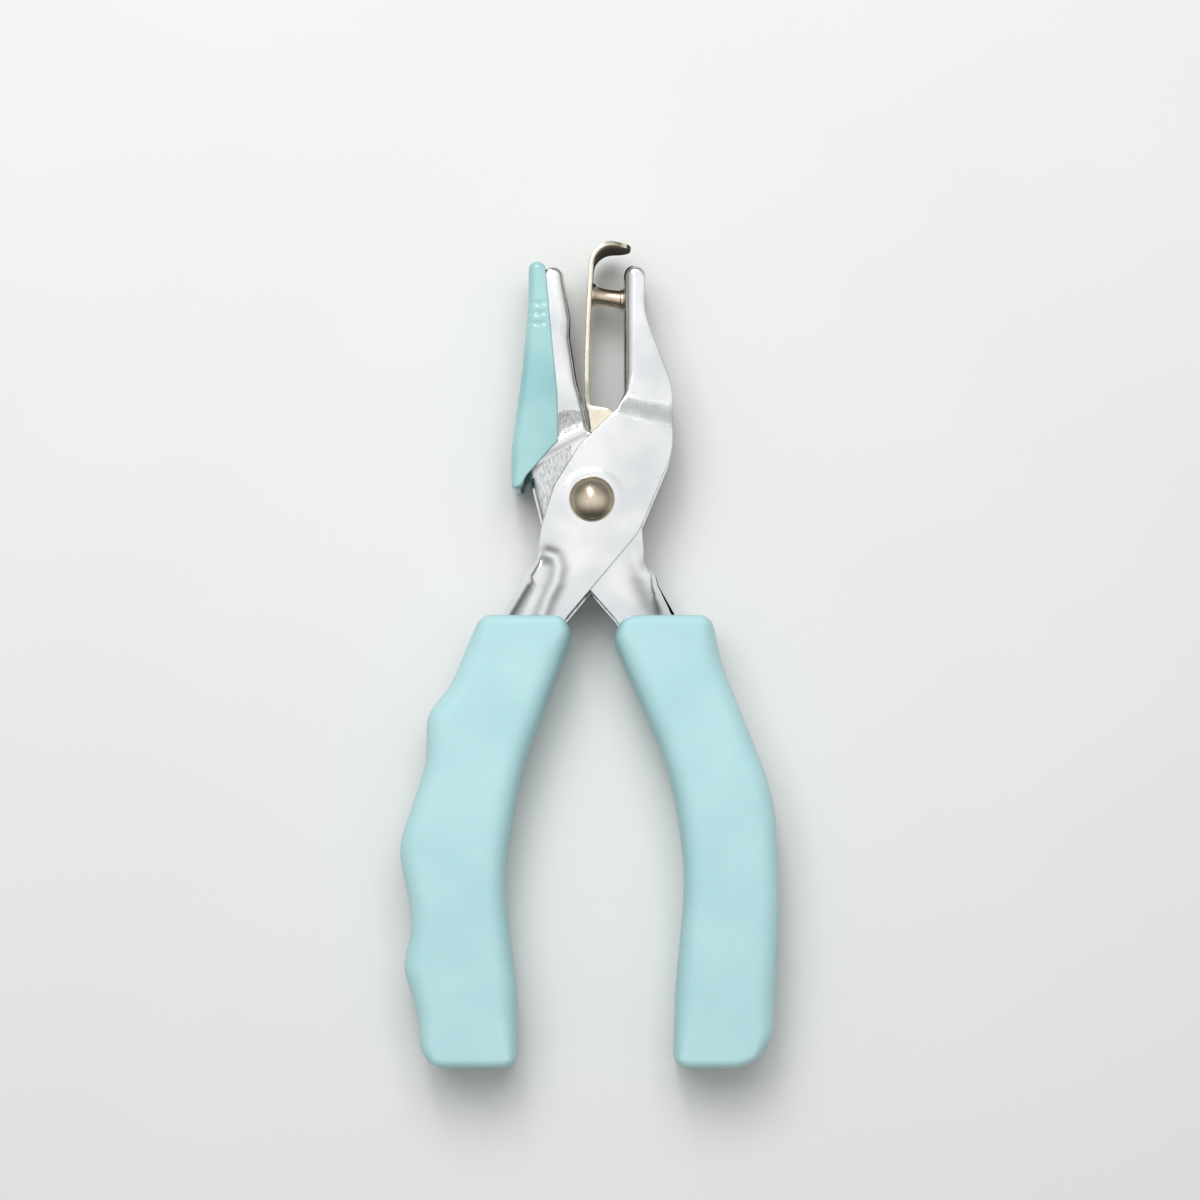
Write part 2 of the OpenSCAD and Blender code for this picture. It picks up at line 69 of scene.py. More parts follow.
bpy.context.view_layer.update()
PIVOT = Vector(next(j["pos_m"] for j in frame["joints"] if j["name"] == "squeeze"))

Height = Callable[[np.ndarray], np.ndarray]
Triple = tuple[float, float, float]


class Body(Enum):
    """The frame's rigid bodies that pieces ride on."""

    DIE_SIDE = "die_side"
    PUNCH_SIDE = "punch_side"
    STRIPPER = "stripper"
    CATCHER = "catcher"


class Slot(Enum):
    """The record's material slots."""

    CHROME = "chromed_steel"
    CHAMPAGNE = "bronzed_steel"
    BRIGHT = "bright_steel"
    GRIP = "grip_plastic"
    CATCHER = "catcher_plastic"


# ---------------------------------------------------------------- colour and nodes


def linear(hex_colour: str) -> tuple[float, float, float, float]:
    """Turns an sRGB hex colour into linear light.

    Args:
        hex_colour: six hex digits.

    Returns:
        Red, green, blue and an alpha of 1.
    """
    parts = [int(hex_colour[i:i + 2], 16) / 255 for i in (0, 2, 4)]
    light = [c / 12.92 if c <= 0.04045 else ((c + 0.055) / 1.055) ** 2.4 for c in parts]
    return (*light, 1.0)


def per_metre(size_mm: float) -> float:
    """The noise or wave scale, in features per metre, of a pattern whose features are size_mm apart."""
    return 1.0 / (size_mm * MM)


def add_node(tree: bpy.types.NodeTree, kind: str, settings: dict | None = None,
             links: dict | None = None) -> bpy.types.Node:
    """Adds a node, sets its properties and inputs, and links its inputs.

    Args:
        tree: the node tree.
        kind: the node's type name.
        settings: property names or input names, to values.
        links: input names or numbers, to the output sockets that feed them.

    Returns:
        The node.
    """
    node = tree.nodes.new(kind)
    for name, value in (settings or {}).items():
        if isinstance(name, str) and hasattr(node, name):
            setattr(node, name, value)
        else:
            node.inputs[name].default_value = value
    for name, source in (links or {}).items():
        tree.links.new(source, node.inputs[name])
    return node


def ramp(tree: bpy.types.NodeTree, source: bpy.types.NodeSocket,
         stops: Sequence[tuple[float, str]]) -> bpy.types.NodeSocket:
    """A colour ramp from hex colours.

    Args:
        tree: the node tree.
        source: the value that drives it.
        stops: positions from 0 to 1 and hex colours.

    Returns:
        The ramp's colour.
    """
    node = add_node(tree, "ShaderNodeValToRGB", links={"Fac": source})
    elements = node.color_ramp.elements
    while len(elements) < len(stops):
        elements.new(0.5)
    for element, (position, colour) in zip(elements, stops):
        element.position = position
        element.color = linear(colour)
    return node.outputs["Color"]


def new_tree(name: str) -> tuple[bpy.types.Material, bpy.types.NodeTree, bpy.types.NodeSocket]:
    """Starts a material.

    Args:
        name: the material's name.

    Returns:
        The material, its cleared node tree, and the object-space position in metres.
    """
    material = bpy.data.materials.new(name)
    material.use_nodes = True
    tree = material.node_tree
    tree.nodes.clear()
    place = add_node(tree, "ShaderNodeTexCoord").outputs["Object"]
    return material, tree, place


def finish_tree(tree: bpy.types.NodeTree, settings: dict, links: dict) -> None:
    """Adds the surface shader and the output.

    Args:
        tree: the node tree.
        settings: constant inputs of the surface shader.
        links: linked inputs of the surface shader.
    """
    shader = add_node(tree, "ShaderNodeBsdfPrincipled", settings, links)
    add_node(tree, "ShaderNodeOutputMaterial", links={"Surface": shader.outputs["BSDF"]})


# ---------------------------------------------------------------- finishes


@dataclass(frozen=True)
class BrightChrome:
    """Decorative chrome on pressed mild steel sheet.

    Electroplated chrome is a neutral near-white mirror. The pressed sheet under it isn't truly flat, so
    reflections are soft clouds of white and grey, and a little dull where the press tool rubbed.
    """

    name: str = "bright_chrome_on_pressed_sheet"
    light: str = "F3F4F5"
    cloud: str = "DADDDF"
    gloss: float = 0.10
    dull: float = 0.24
    cloud_mm: float = 11.0
    grain_mm: float = 0.35
    wave_depth: float = 0.6
    grain_depth: float = 0.02

    def build(self) -> bpy.types.Material:
        """Makes the material."""
        material, tree, place = new_tree(self.name)
        clouds = add_node(tree, "ShaderNodeTexNoise",
                          {"Scale": per_metre(self.cloud_mm), "Detail": 2.0, "Roughness": 0.45},
                          {"Vector": place}).outputs["Fac"]
        grain = add_node(tree, "ShaderNodeTexNoise", {"Scale": per_metre(self.grain_mm), "Detail": 3.0},
                         {"Vector": place}).outputs["Fac"]
        colour = ramp(tree, clouds, [(0.35, self.cloud), (0.68, self.light)])
        rough = add_node(tree, "ShaderNodeMapRange",
                         {"From Min": 0.3, "From Max": 0.75, "To Min": self.gloss, "To Max": self.dull},
                         {"Value": grain}).outputs["Result"]
        wave = add_node(tree, "ShaderNodeBump", {"Strength": self.wave_depth, "Distance": 0.2 * MM},
                        {"Height": clouds}).outputs["Normal"]
        bump = add_node(tree, "ShaderNodeBump", {"Strength": self.grain_depth, "Distance": 0.02 * MM},
                        {"Height": grain, "Normal": wave}).outputs["Normal"]
        finish_tree(tree, {"Metallic": 1.0}, {"Base Color": colour, "Roughness": rough, "Normal": bump})
        return material


@dataclass(frozen=True)
class RubbedChrome:
    """Chrome over the coarse, drawn surface that the press leaves in a recess.

    The draw lines are plated as they are, so the patch is a dull grey with short darker streaks.
    """

    name: str = "rubbed_chrome_in_recess"
    light: str = "DEDFDF"
    dark: str = "B2B4B6"
    streak_mm: float = 0.35
    rough: float = 0.38
    lean: float = 28.0

    def build(self) -> bpy.types.Material:
        """Makes the material."""
        material, tree, place = new_tree(self.name)
        turned = add_node(tree, "ShaderNodeMapping",
                          {"Rotation": (0.0, 0.0, math.radians(self.lean)), "Scale": (1.0, 0.3, 1.0)},
                          {"Vector": place}).outputs["Vector"]
        streaks = add_node(tree, "ShaderNodeTexNoise",
                           {"Scale": per_metre(self.streak_mm), "Detail": 4.0, "Roughness": 0.6},
                           {"Vector": turned}).outputs["Fac"]
        colour = ramp(tree, streaks, [(0.35, self.dark), (0.62, self.light)])
        bump = add_node(tree, "ShaderNodeBump", {"Strength": 0.35, "Distance": 0.06 * MM},
                        {"Height": streaks}).outputs["Normal"]
        finish_tree(tree, {"Metallic": 1.0, "Roughness": self.rough},
                    {"Base Color": colour, "Normal": bump})
        return material


@dataclass(frozen=True)
class ChampagnePlate:
    """Satin champagne plating on machined steel, as on the rivet, the pin and the spring strip.

    The plating is a warm grey-gold metal. Fine barrel polishing blurs what it reflects, and small pits
    and rubbed spots show as darker specks.
    """

    name: str
    light: str = "E4D5C1"
    dark: str = "CDBAA2"
    rough: float = 0.27
    speck_mm: float = 0.45
    speck_depth: float = 0.02
    patch_mm: float = 3.0

    def build(self) -> bpy.types.Material:
        """Makes the material."""
        material, tree, place = new_tree(self.name)
        specks = add_node(tree, "ShaderNodeTexNoise",
                          {"Scale": per_metre(self.speck_mm), "Detail": 5.0, "Roughness": 0.65},
                          {"Vector": place}).outputs["Fac"]
        patches = add_node(tree, "ShaderNodeTexNoise", {"Scale": per_metre(self.patch_mm), "Detail": 2.0},
                           {"Vector": place}).outputs["Fac"]
        both = add_node(tree, "ShaderNodeMath", {"operation": "MULTIPLY_ADD", 1: 0.5, 2: 0.12},
                        {0: specks}).outputs["Value"]
        mixed = add_node(tree, "ShaderNodeMath", {"operation": "MULTIPLY_ADD", 1: 0.5},
                         {0: patches, 2: both}).outputs["Value"]
        colour = ramp(tree, mixed, [(0.42, self.dark), (0.66, self.light)])
        rough = add_node(tree, "ShaderNodeMapRange",
                         {"From Min": 0.3, "From Max": 0.7, "To Min": self.rough + 0.08,
                          "To Max": self.rough - 0.05}, {"Value": specks}).outputs["Result"]
        bump = add_node(tree, "ShaderNodeBump", {"Strength": self.speck_depth, "Distance": 0.02 * MM},
                        {"Height": specks}).outputs["Normal"]
        finish_tree(tree, {"Metallic": 1.0}, {"Base Color": colour, "Roughness": rough, "Normal": bump})
        return material


@dataclass(frozen=True)
class PaintedHookShade:
    """Painted shade inside the strip's hook: dark colour stands in for the shade and dark reflections there.

    The painted shade darkens from the front edge to the back of the hook, from warm grey to brown and then
    nearly black, with random blots; the surface is dull and hardly reflects.
    """

    name: str = "painted_shade_in_hook"
    edge: str = "A39580"
    middle: str = "4A3C31"
    deep: str = "17110D"
    half_width_mm: float = 5.5
    blot_mm: float = 1.5
    rough: float = 0.6
    shine: float = 0.12

    def build(self) -> bpy.types.Material:
        """Makes the material."""
        material, tree, place = new_tree(self.name)
        up = add_node(tree, "ShaderNodeSeparateXYZ", links={"Vector": place}).outputs["Z"]
        blot = add_node(tree, "ShaderNodeTexNoise", {"Scale": per_metre(self.blot_mm), "Detail": 4.0},
                        {"Vector": place}).outputs["Fac"]
        # painted shade: light at the front edge (+Z), nearly black towards the back of the hook
        front = add_node(tree, "ShaderNodeMapRange",
                         {"From Min": PIVOT.z - self.half_width_mm * MM,
                          "From Max": PIVOT.z + self.half_width_mm * MM}, {"Value": up}).outputs["Result"]
        share = add_node(tree, "ShaderNodeMath", {"operation": "MULTIPLY_ADD", 1: 0.16},
                         {0: blot, 2: front}).outputs["Value"]
        colour = ramp(tree, share, [(0.35, self.deep), (0.8, self.middle), (1.0, self.edge)])
        bump = add_node(tree, "ShaderNodeBump", {"Strength": 0.05, "Distance": 0.03 * MM},
                        {"Height": blot}).outputs["Normal"]
        finish_tree(tree, {"Roughness": self.rough, "Specular IOR Level": self.shine},
                    {"Base Color": colour, "Normal": bump})
        return material


@dataclass(frozen=True)
class DrawnSteel:
    """Bright drawn or ground steel, unplated, for the wire, the sleeve and the die ring.

    The die that draws it leaves fine lines, which give a soft, cool grey gloss.
    """

    name: str = "bright_drawn_steel"
    light: str = "C9CBCE"
    dark: str = "9A9DA1"
    line_mm: float = 0.3
    rough: float = 0.28

    def build(self) -> bpy.types.Material:
        """Makes the material."""
        material, tree, place = new_tree(self.name)
        lines = add_node(tree, "ShaderNodeTexNoise", {"Scale": per_metre(self.line_mm), "Detail": 4.0},
                         {"Vector": place}).outputs["Fac"]
        colour = ramp(tree, lines, [(0.35, self.dark), (0.65, self.light)])
        bump = add_node(tree, "ShaderNodeBump", {"Strength": 0.12, "Distance": 0.03 * MM},
                        {"Height": lines}).outputs["Normal"]
        finish_tree(tree, {"Metallic": 1.0, "Roughness": self.rough}, {"Base Color": colour, "Normal": bump})
        return material


@dataclass(frozen=True)
class MouldedVinyl:
    """Soft PVC, dip-moulded or injection-moulded in a satin tool, for the grips.

    The colour is even right through. A fine matt texture gives broad, soft highlights, and the thick
    soft wall lets a little light in, so the edges look paler than the sides.
    """

    name: str = "satin_moulded_vinyl"
    light: str = "AED3D7"
    deep: str = "A5CCD1"
    grain_mm: float = 0.35
    mottle_mm: float = 14.0
    rough_low: float = 0.36
    rough_high: float = 0.48

    def build(self) -> bpy.types.Material:
        """Makes the material."""
        material, tree, place = new_tree(self.name)
        mottle = add_node(tree, "ShaderNodeTexNoise", {"Scale": per_metre(self.mottle_mm), "Detail": 3.0},
                          {"Vector": place}).outputs["Fac"]
        grain = add_node(tree, "ShaderNodeTexNoise", {"Scale": per_metre(self.grain_mm), "Detail": 2.0},
                         {"Vector": place}).outputs["Fac"]
        colour = ramp(tree, mottle, [(0.32, self.deep), (0.68, self.light)])
        rough = add_node(tree, "ShaderNodeMapRange",
                         {"From Min": 0.3, "From Max": 0.7, "To Min": self.rough_low,
                          "To Max": self.rough_high}, {"Value": grain}).outputs["Result"]
        bump = add_node(tree, "ShaderNodeBump", {"Strength": 0.12, "Distance": 0.03 * MM},
                        {"Height": grain}).outputs["Normal"]
        finish_tree(tree, {"IOR": 1.53, "Subsurface Weight": 0.12, "Subsurface Scale": 1.5 * MM},
                    {"Base Color": colour, "Roughness": rough, "Normal": bump})
        return material


@dataclass(frozen=True)
class GlossAbs:
    """ABS injection-moulded in a polished tool, for the chip catcher.

    A hard even gloss with faint flow clouds and very slight sink, so highlights are sharp but not flat.
    """

    name: str = "gloss_moulded_abs"
    light: str = "9AC4C6"
    deep: str = "82B1B5"
    flow_mm: float = 16.0
    grain_mm: float = 0.5

    def build(self) -> bpy.types.Material:
        """Makes the material."""
        material, tree, place = new_tree(self.name)
        flow = add_node(tree, "ShaderNodeTexNoise",
                        {"Scale": per_metre(self.flow_mm), "Detail": 2.0}, {"Vector": place}).outputs["Fac"]
        fine = add_node(tree, "ShaderNodeTexNoise",
                        {"Scale": per_metre(self.grain_mm), "Detail": 2.0}, {"Vector": place}).outputs["Fac"]
        colour = ramp(tree, flow, [(0.35, self.deep), (0.65, self.light)])
        rough = add_node(tree, "ShaderNodeMapRange",
                         {"From Min": 0.3, "From Max": 0.7, "To Min": 0.14, "To Max": 0.24},
                         {"Value": fine}).outputs["Result"]
        bump = add_node(tree, "ShaderNodeBump", {"Strength": 0.15, "Distance": 0.1 * MM},
                        {"Height": flow}).outputs["Normal"]
        finish_tree(tree, {"IOR": 1.54, "Coat Weight": 0.3, "Coat Roughness": 0.06},
                    {"Base Color": colour, "Roughness": rough, "Normal": bump})
        return material


# ---------------------------------------------------------------- outlines


class Corner(NamedTuple):
    """A corner of an outline, its rounding, and the roll of the sheet's edge on the side that follows.

    A roll of 0 is a cut edge. A larger one is the radius over which the skin turns down into a wall.
    """

    x: float
    y: float
    radius: float
    roll: float = 0.0


@dataclass
class Trace:
    """A closed outline as close points, anticlockwise, with each point's roll."""

    points: np.ndarray
    rolls: np.ndarray


def corner_arc(before: Corner, here: Corner, after: Corner, step: float) -> list[Vector]:
    """The points that round one corner.

    Args:
        before: the corner before it.
        here: the corner.
        after: the corner after it.
        step: the distance between points.

    Returns:
        The arc's points, or the corner itself where it isn't rounded.
    """
    mid = Vector((here.x, here.y))
    to_before = Vector((before.x, before.y)) - mid
    to_after = Vector((after.x, after.y)) - mid
    half = to_before.angle(to_after) / 2
    if here.radius <= 0 or half > math.radians(89):
        return [mid]
    leg = min(here.radius / math.tan(half), 0.48 * to_before.length, 0.48 * to_after.length)
    radius = leg * math.tan(half)
    u, v = to_before.normalized(), to_after.normalized()
    centre = mid + (u + v).normalized() * radius / math.sin(half)
    start = u * leg + mid - centre
    sweep = math.pi - 2 * half
    sign = -1 if u.cross(v) > 0 else 1
    count = max(3, round(radius * sweep / step))
    return [centre + Matrix.Rotation(sign * sweep * i / count, 2) @ start for i in range(count + 1)]


def trace(corners: Sequence[Corner], step: float) -> Trace:
    """Walks an outline with rounded corners in close, even steps.

    Args:
        corners: the outline's corners in order.
        step: the distance between points, in mm.

    Returns:
        The outline, anticlockwise.
    """
    spots: list[tuple[Vector, float]] = []
    count = len(corners)
    for i, here in enumerate(corners):
        before = corners[i - 1]
        arc = corner_arc(before, here, corners[(i + 1) % count], step)
        for k, point in enumerate(arc):
            spots.append((point, before.roll if 2 * k < len(arc) - 1 else here.roll))
    points: list[tuple[float, float]] = []
    rolls: list[float] = []
    for (a, roll), (b, _) in zip(spots, spots[1:] + spots[:1]):
        pieces = max(1, round((b - a).length / step))
        for k in range(pieces):
            point = a.lerp(b, k / pieces)
            points.append((point.x, point.y))
            rolls.append(roll)
    outline, edge_rolls = np.array(points), np.array(rolls)
    keep = np.linalg.norm(outline - np.roll(outline, -1, 0), axis=1) > 0.02
    outline, edge_rolls = outline[keep], edge_rolls[keep]
    nxt = np.roll(outline, -1, 0)
    if (outline[:, 0] * nxt[:, 1] - outline[:, 1] * nxt[:, 0]).sum() < 0:
        outline, edge_rolls = outline[::-1].copy(), edge_rolls[::-1].copy()
    return Trace(outline, edge_rolls)


def inward(points: np.ndarray) -> np.ndarray:
    """The inward unit normal at each point of an anticlockwise outline."""
    along = np.roll(points, -1, 0) - np.roll(points, 1, 0)
    along /= np.linalg.norm(along, axis=1)[:, None]
    return np.stack([-along[:, 1], along[:, 0]], 1)


def convex_room(points: np.ndarray, reach: int = 3) -> np.ndarray:
    """The outline's radius at each point where it bulges out, and a large number elsewhere.

    Args:
        points: an anticlockwise outline.
        reach: how many points away its neighbours are taken.

    Returns:
        The radii.
    """
    before, after = np.roll(points, reach, 0), np.roll(points, -reach, 0)
    a, b = points - before, after - points
    turn = np.arctan2(a[:, 0] * b[:, 1] - a[:, 1] * b[:, 0], (a * b).sum(1))
    length = (np.linalg.norm(a, axis=1) + np.linalg.norm(b, axis=1)) / 2
    return np.where(turn > 1e-3, length / np.maximum(turn, 1e-3), 99.0)


def inside(points: np.ndarray, outline: np.ndarray) -> np.ndarray:
    """Which points lie inside an outline."""
    x, y = points[:, 0][:, None], points[:, 1][:, None]
    ax, ay = outline[:, 0], outline[:, 1]
    bx, by = np.roll(ax, -1), np.roll(ay, -1)
    crosses = (ay > y) != (by > y)
    rise = np.where(by == ay, 1e-9, by - ay)
    return (crosses & (x < (bx - ax) * (y - ay) / rise + ax)).sum(1) % 2 == 1


def gap_to(points: np.ndarray, line: np.ndarray) -> np.ndarray:
    """The distance from each point to an open line of points."""
    a, b = line[:-1][None], line[1:][None]
    p = points[:, None]
    d = b - a
    t = np.clip(((p - a) * d).sum(2) / np.maximum((d * d).sum(2), 1e-9), 0, 1)
    return np.linalg.norm(p - a - d * t[..., None], axis=2).min(1)


def ease(value: np.ndarray, low: float, high: float) -> np.ndarray:
    """A smooth rise from 0 at low to 1 at high."""
    t = np.clip((value - low) / (high - low), 0, 1)
    return t * t * (3 - 2 * t)


# ---------------------------------------------------------------- meshes


def fill(ring: np.ndarray, holes: Sequence[np.ndarray], pitch: float) -> tuple[np.ndarray, list[list[int]]]:
    """Fills an outline with even triangles.

    Args:
        ring: the outline's points.
        holes: outlines left open.
        pitch: the distance between the points inside.

    Returns:
        The points, which start with the ring's and then the holes', and the triangles.
    """
    low, high = ring.min(0), ring.max(0)
    columns = np.arange(low[0], high[0], pitch)
    rows = np.arange(low[1], high[1], pitch * 0.87)
    grid = np.array([(x + (pitch / 2 if k % 2 else 0), y) for k, y in enumerate(rows) for x in columns])
    grid = grid[inside(grid, ring)]
    for loop in [ring, *holes]:
        closed = np.vstack([loop, loop[:1]])
        grid = grid[gap_to(grid, closed) > 0.45 * pitch] if len(grid) else grid
    for hole in holes:
        grid = grid[~inside(grid, hole)] if len(grid) else grid
    points = np.vstack([ring, *holes, grid]) if len(grid) else np.vstack([ring, *holes])
    edges, start = [], 0
    for loop in [ring, *holes]:
        edges += [(start + i, start + (i + 1) % len(loop)) for i in range(len(loop))]
        start += len(loop)
    made = delaunay_2d_cdt([Vector(p) for p in points], edges, [], 0, 1e-6)
    place = {}
    for new, originals in enumerate(made[3]):
        place[new] = originals[0] if originals else len(points)
    triangles = [[place[i] for i in t] for t in made[2]]
    triangles = [t for t in triangles if max(t) < len(points)]
    middles = points[np.array(triangles)].mean(1)
    keep = inside(middles, ring)
    for hole in holes:
        keep &= ~inside(middles, hole)
    return points, [t for t, k in zip(triangles, keep) if k]


def to_object(name: str, mesh: bmesh.types.BMesh, sharp: float = 35.0) -> bpy.types.Object:
    """Turns a mesh in millimetres about the rivet into an object in the row frame.

    Args:
        name: the piece's name.
        mesh: the mesh, which is freed.
        sharp: the angle, in degrees, above which an edge stays sharp.

    Returns:
        The object.
    """
    bmesh.ops.remove_doubles(mesh, verts=mesh.verts, dist=1e-4)
    bmesh.ops.dissolve_degenerate(mesh, edges=mesh.edges, dist=1e-4)
    bmesh.ops.recalc_face_normals(mesh, faces=mesh.faces)
    for vert in mesh.verts:
        vert.co = PIVOT + vert.co * MM
    data = bpy.data.meshes.new(name)
    mesh.to_mesh(data)
    mesh.free()
    data.shade_smooth()
    data.set_sharp_from_angle(angle=math.radians(sharp))
    piece = bpy.data.objects.new(name, data)
    bpy.context.scene.collection.objects.link(piece)
    return piece


def bore_through(piece: bpy.types.Object, turned: Matrix, radius: float, length: float) -> None:
    """Bores a round hole in a piece, which can leave some of the hole's edges open.

    Args:
        piece: the piece, whose mesh is changed.
        turned: puts the hole's axis, which is Z, where it belongs, in mm about the rivet.
        radius: the hole's radius.
        length: how far the drill reaches, half to each side.
    """
    half = length / 2
    drill = to_object("drill", lathe([(0, -half), (radius, -half), (radius, half), (0, half)], turned))
    cut = piece.modifiers.new("bore", "BOOLEAN")
    cut.operation, cut.solver, cut.object = "DIFFERENCE", "EXACT", drill
    cut.use_self = True
    ready = piece.evaluated_get(bpy.context.evaluated_depsgraph_get())
    data = bpy.data.meshes.new_from_object(ready)
    piece.modifiers.clear()
    piece.data = data
    bpy.data.objects.remove(drill)
    data.shade_smooth()
    data.set_sharp_from_angle(angle=math.radians(35))


def place_piece(piece: bpy.types.Object, body: Body, replaced: Sequence[str],
                materials: Sequence[bpy.types.Material], rides: bool = True) -> None:
    """Dresses a piece, ties it to its body and hides the CAD nodes that it stands for.

    Args:
        piece: the piece.
        body: the body it rides on.
        replaced: CAD nodes that it stands for.
        materials: its materials in the order of its faces' numbers.
        rides: False for a piece that is tied to no body.
    """
    for material in materials:
        piece.data.materials.append(material)
    if rides:
        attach(piece, body.value)
    if replaced:
        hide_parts(*replaced)
    log.info("%s: %d faces, rides on %s", piece.name, len(piece.data.polygons), body.value)


@dataclass
class Pressing:
    """A sheet pressed into a channel: two skins joined by walls along its rolled edges.

    Args:
        corners: its outline.
        height: the outer height of the upper skin at each point.
        sheet: the sheet's thickness; 0 makes a solid instead of a channel.
        holes: centres and radii of round holes through both skins.
        pitch: the distance between mesh points.
        drop: how far a rolled edge comes down, as a share of its roll.
        mirrored: whether a lower skin mirrors the upper one.
        edge: the rounding of a cut edge.
        fade: how far past a rolled edge's end its roll dies away.
        steps: rows of points round an edge.
    """

    corners: Sequence[Corner]
    height: Height
    sheet: float
    holes: Sequence[Triple] = ()
    pitch: float = 0.7
    drop: float = 1.0
    mirrored: bool = True
    edge: float = 0.18
    fade: float = 2.6
    steps: int = 6

    def build(self) -> bmesh.types.BMesh:
        """Makes the mesh.

        Returns:
            The mesh, in millimetres.
        """
        outline = trace(self.corners, self.pitch)
        points, rolls = outline.points, outline.rolls
        count = len(points)
        folded = rolls > 0
        radius = self._eased_rolls(points, rolls)
        normals = inward(points)
        inset = self._clear_inset(points, normals, np.minimum(radius, 0.8 * convex_room(points)))
        self.mesh = bmesh.new()
        ring = points + normals * inset[:, None]
        holes = [self._circle(*hole) for hole in self.holes]
        flat, triangles = fill(ring, holes, self.pitch)
        tops = self._rows(points, normals, inset, radius, folded, under=False)
        top = self._verts(flat, self.height(flat))
        self._stitch([top[:count], *tops], count)
        self._faces(top, triangles)
        walls = folded if self.mirrored else np.zeros(count, bool)
        zero = self._verts(points, np.zeros(count)) if walls.any() else None
        if zero:
            self._walls(tops[-1], zero, walls, count)
        if self.sheet > 0:
            self._inside(flat, triangles, points, normals, inset, radius, walls, tops, top, zero, holes)
        loose = [vert for vert in self.mesh.verts if not vert.link_faces]
        bmesh.ops.delete(self.mesh, geom=loose, context="VERTS")
        if self.mirrored:
            self._mirror()
        return self.mesh

    def _eased_rolls(self, points: np.ndarray, rolls: np.ndarray) -> np.ndarray:
        """Each point's edge radius: its roll, fading to the cut edge's small rounding past its end."""
        radius = np.full(len(points), self.edge)
        for roll in sorted(set(rolls[rolls > 0])):
            near = points[rolls == roll]
            gap = np.linalg.norm(points[:, None] - near[None], axis=2).min(1)
            radius = np.maximum(radius, self.edge + (roll - self.edge) * (1 - ease(gap, 0, self.fade)))
        return radius

    def _clear_inset(self, points: np.ndarray, normals: np.ndarray, inset: np.ndarray) -> np.ndarray:
        """Shortens the inset wherever the inner ring would come nearer to another part of the outline."""
        closed = np.vstack([points, points[:1]])
        for _ in range(14):
            room = gap_to(points + normals * inset[:, None], closed)
            inset = np.where(room < inset - 0.01, 0.7 * inset + 0.3 * np.maximum(room, 0.05) - 0.01, inset)
            near = np.minimum(np.roll(inset, 1), np.roll(inset, -1))
            inset = np.minimum(inset, near + 0.25 * self.pitch)
        return np.maximum(inset, 0.08)

    def _circle(self, x: float, y: float, radius: float) -> np.ndarray:
        """The points of a round hole."""
        turns = np.linspace(0, 2 * math.pi, 40, endpoint=False)
        return np.stack([x + radius * np.cos(turns), y + radius * np.sin(turns)], 1)

    def _rows(self, points: np.ndarray, normals: np.ndarray, inset: np.ndarray, radius: np.ndarray,
              folded: np.ndarray, under: bool) -> list[list[bmesh.types.BMVert]]:
        """The rows of points that take a skin over its edge, from the flat outwards."""
        rows = []
        fold = ease(radius, self.edge, max(self.sheet, self.edge + 0.1))
        thick = np.minimum(self.sheet, 0.85 * inset)
        for k in range(1, self.steps + 1):
            turn = math.pi / 2 * (1 - k / self.steps)
            if under:
                free_in = inset * (1 - math.cos(turn))
                fold_in = thick + (inset - thick) * (1 - math.cos(turn))
                free_down = self.sheet - self.edge * (1 - math.sin(turn))
                beyond = np.maximum(radius * self.drop - self.sheet, 0)
                fold_down = self.sheet + beyond * (1 - math.sin(turn))
                across = free_in + (fold_in - free_in) * fold
                down = free_down + (fold_down - free_down) * fold
            else:
                across = inset * (1 - math.cos(turn))
                down = radius * (self.drop if self.sheet > 0 else 1.0) * (1 - math.sin(turn))
                down = np.where(fold < 1, radius * (1 - math.sin(turn)), down)
            spots = points + normals * across[:, None]
            rows.append(self._verts(spots, self.height(spots) - down))
        return rows

    def _verts(self, spots: np.ndarray, heights: np.ndarray) -> list[bmesh.types.BMVert]:
        """Adds points to the mesh."""
        return [self.mesh.verts.new((x, y, z)) for (x, y), z in zip(spots, heights)]

    def _faces(self, verts: list[bmesh.types.BMVert], triangles: list[list[int]]) -> None:
        """Adds triangles to the mesh."""
        for triangle in triangles:
            self.mesh.faces.new([verts[i] for i in triangle])

    def _stitch(self, rows: list[list[bmesh.types.BMVert]], count: int) -> None:
        """Joins closed rows of points with quads."""
        for a, b in zip(rows, rows[1:]):
            for i in range(count):
                j = (i + 1) % count
                self.mesh.faces.new([a[i], a[j], b[j], b[i]])

    def _walls(self, rim: list[bmesh.types.BMVert], zero: list[bmesh.types.BMVert], walls: np.ndarray,
               count: int) -> None:
        """Runs the wall under each rolled edge down to the middle of the channel."""
        for i in range(count):
            j = (i + 1) % count
            if walls[i] and walls[j]:
                self.mesh.faces.new([rim[i], rim[j], zero[j], zero[i]])

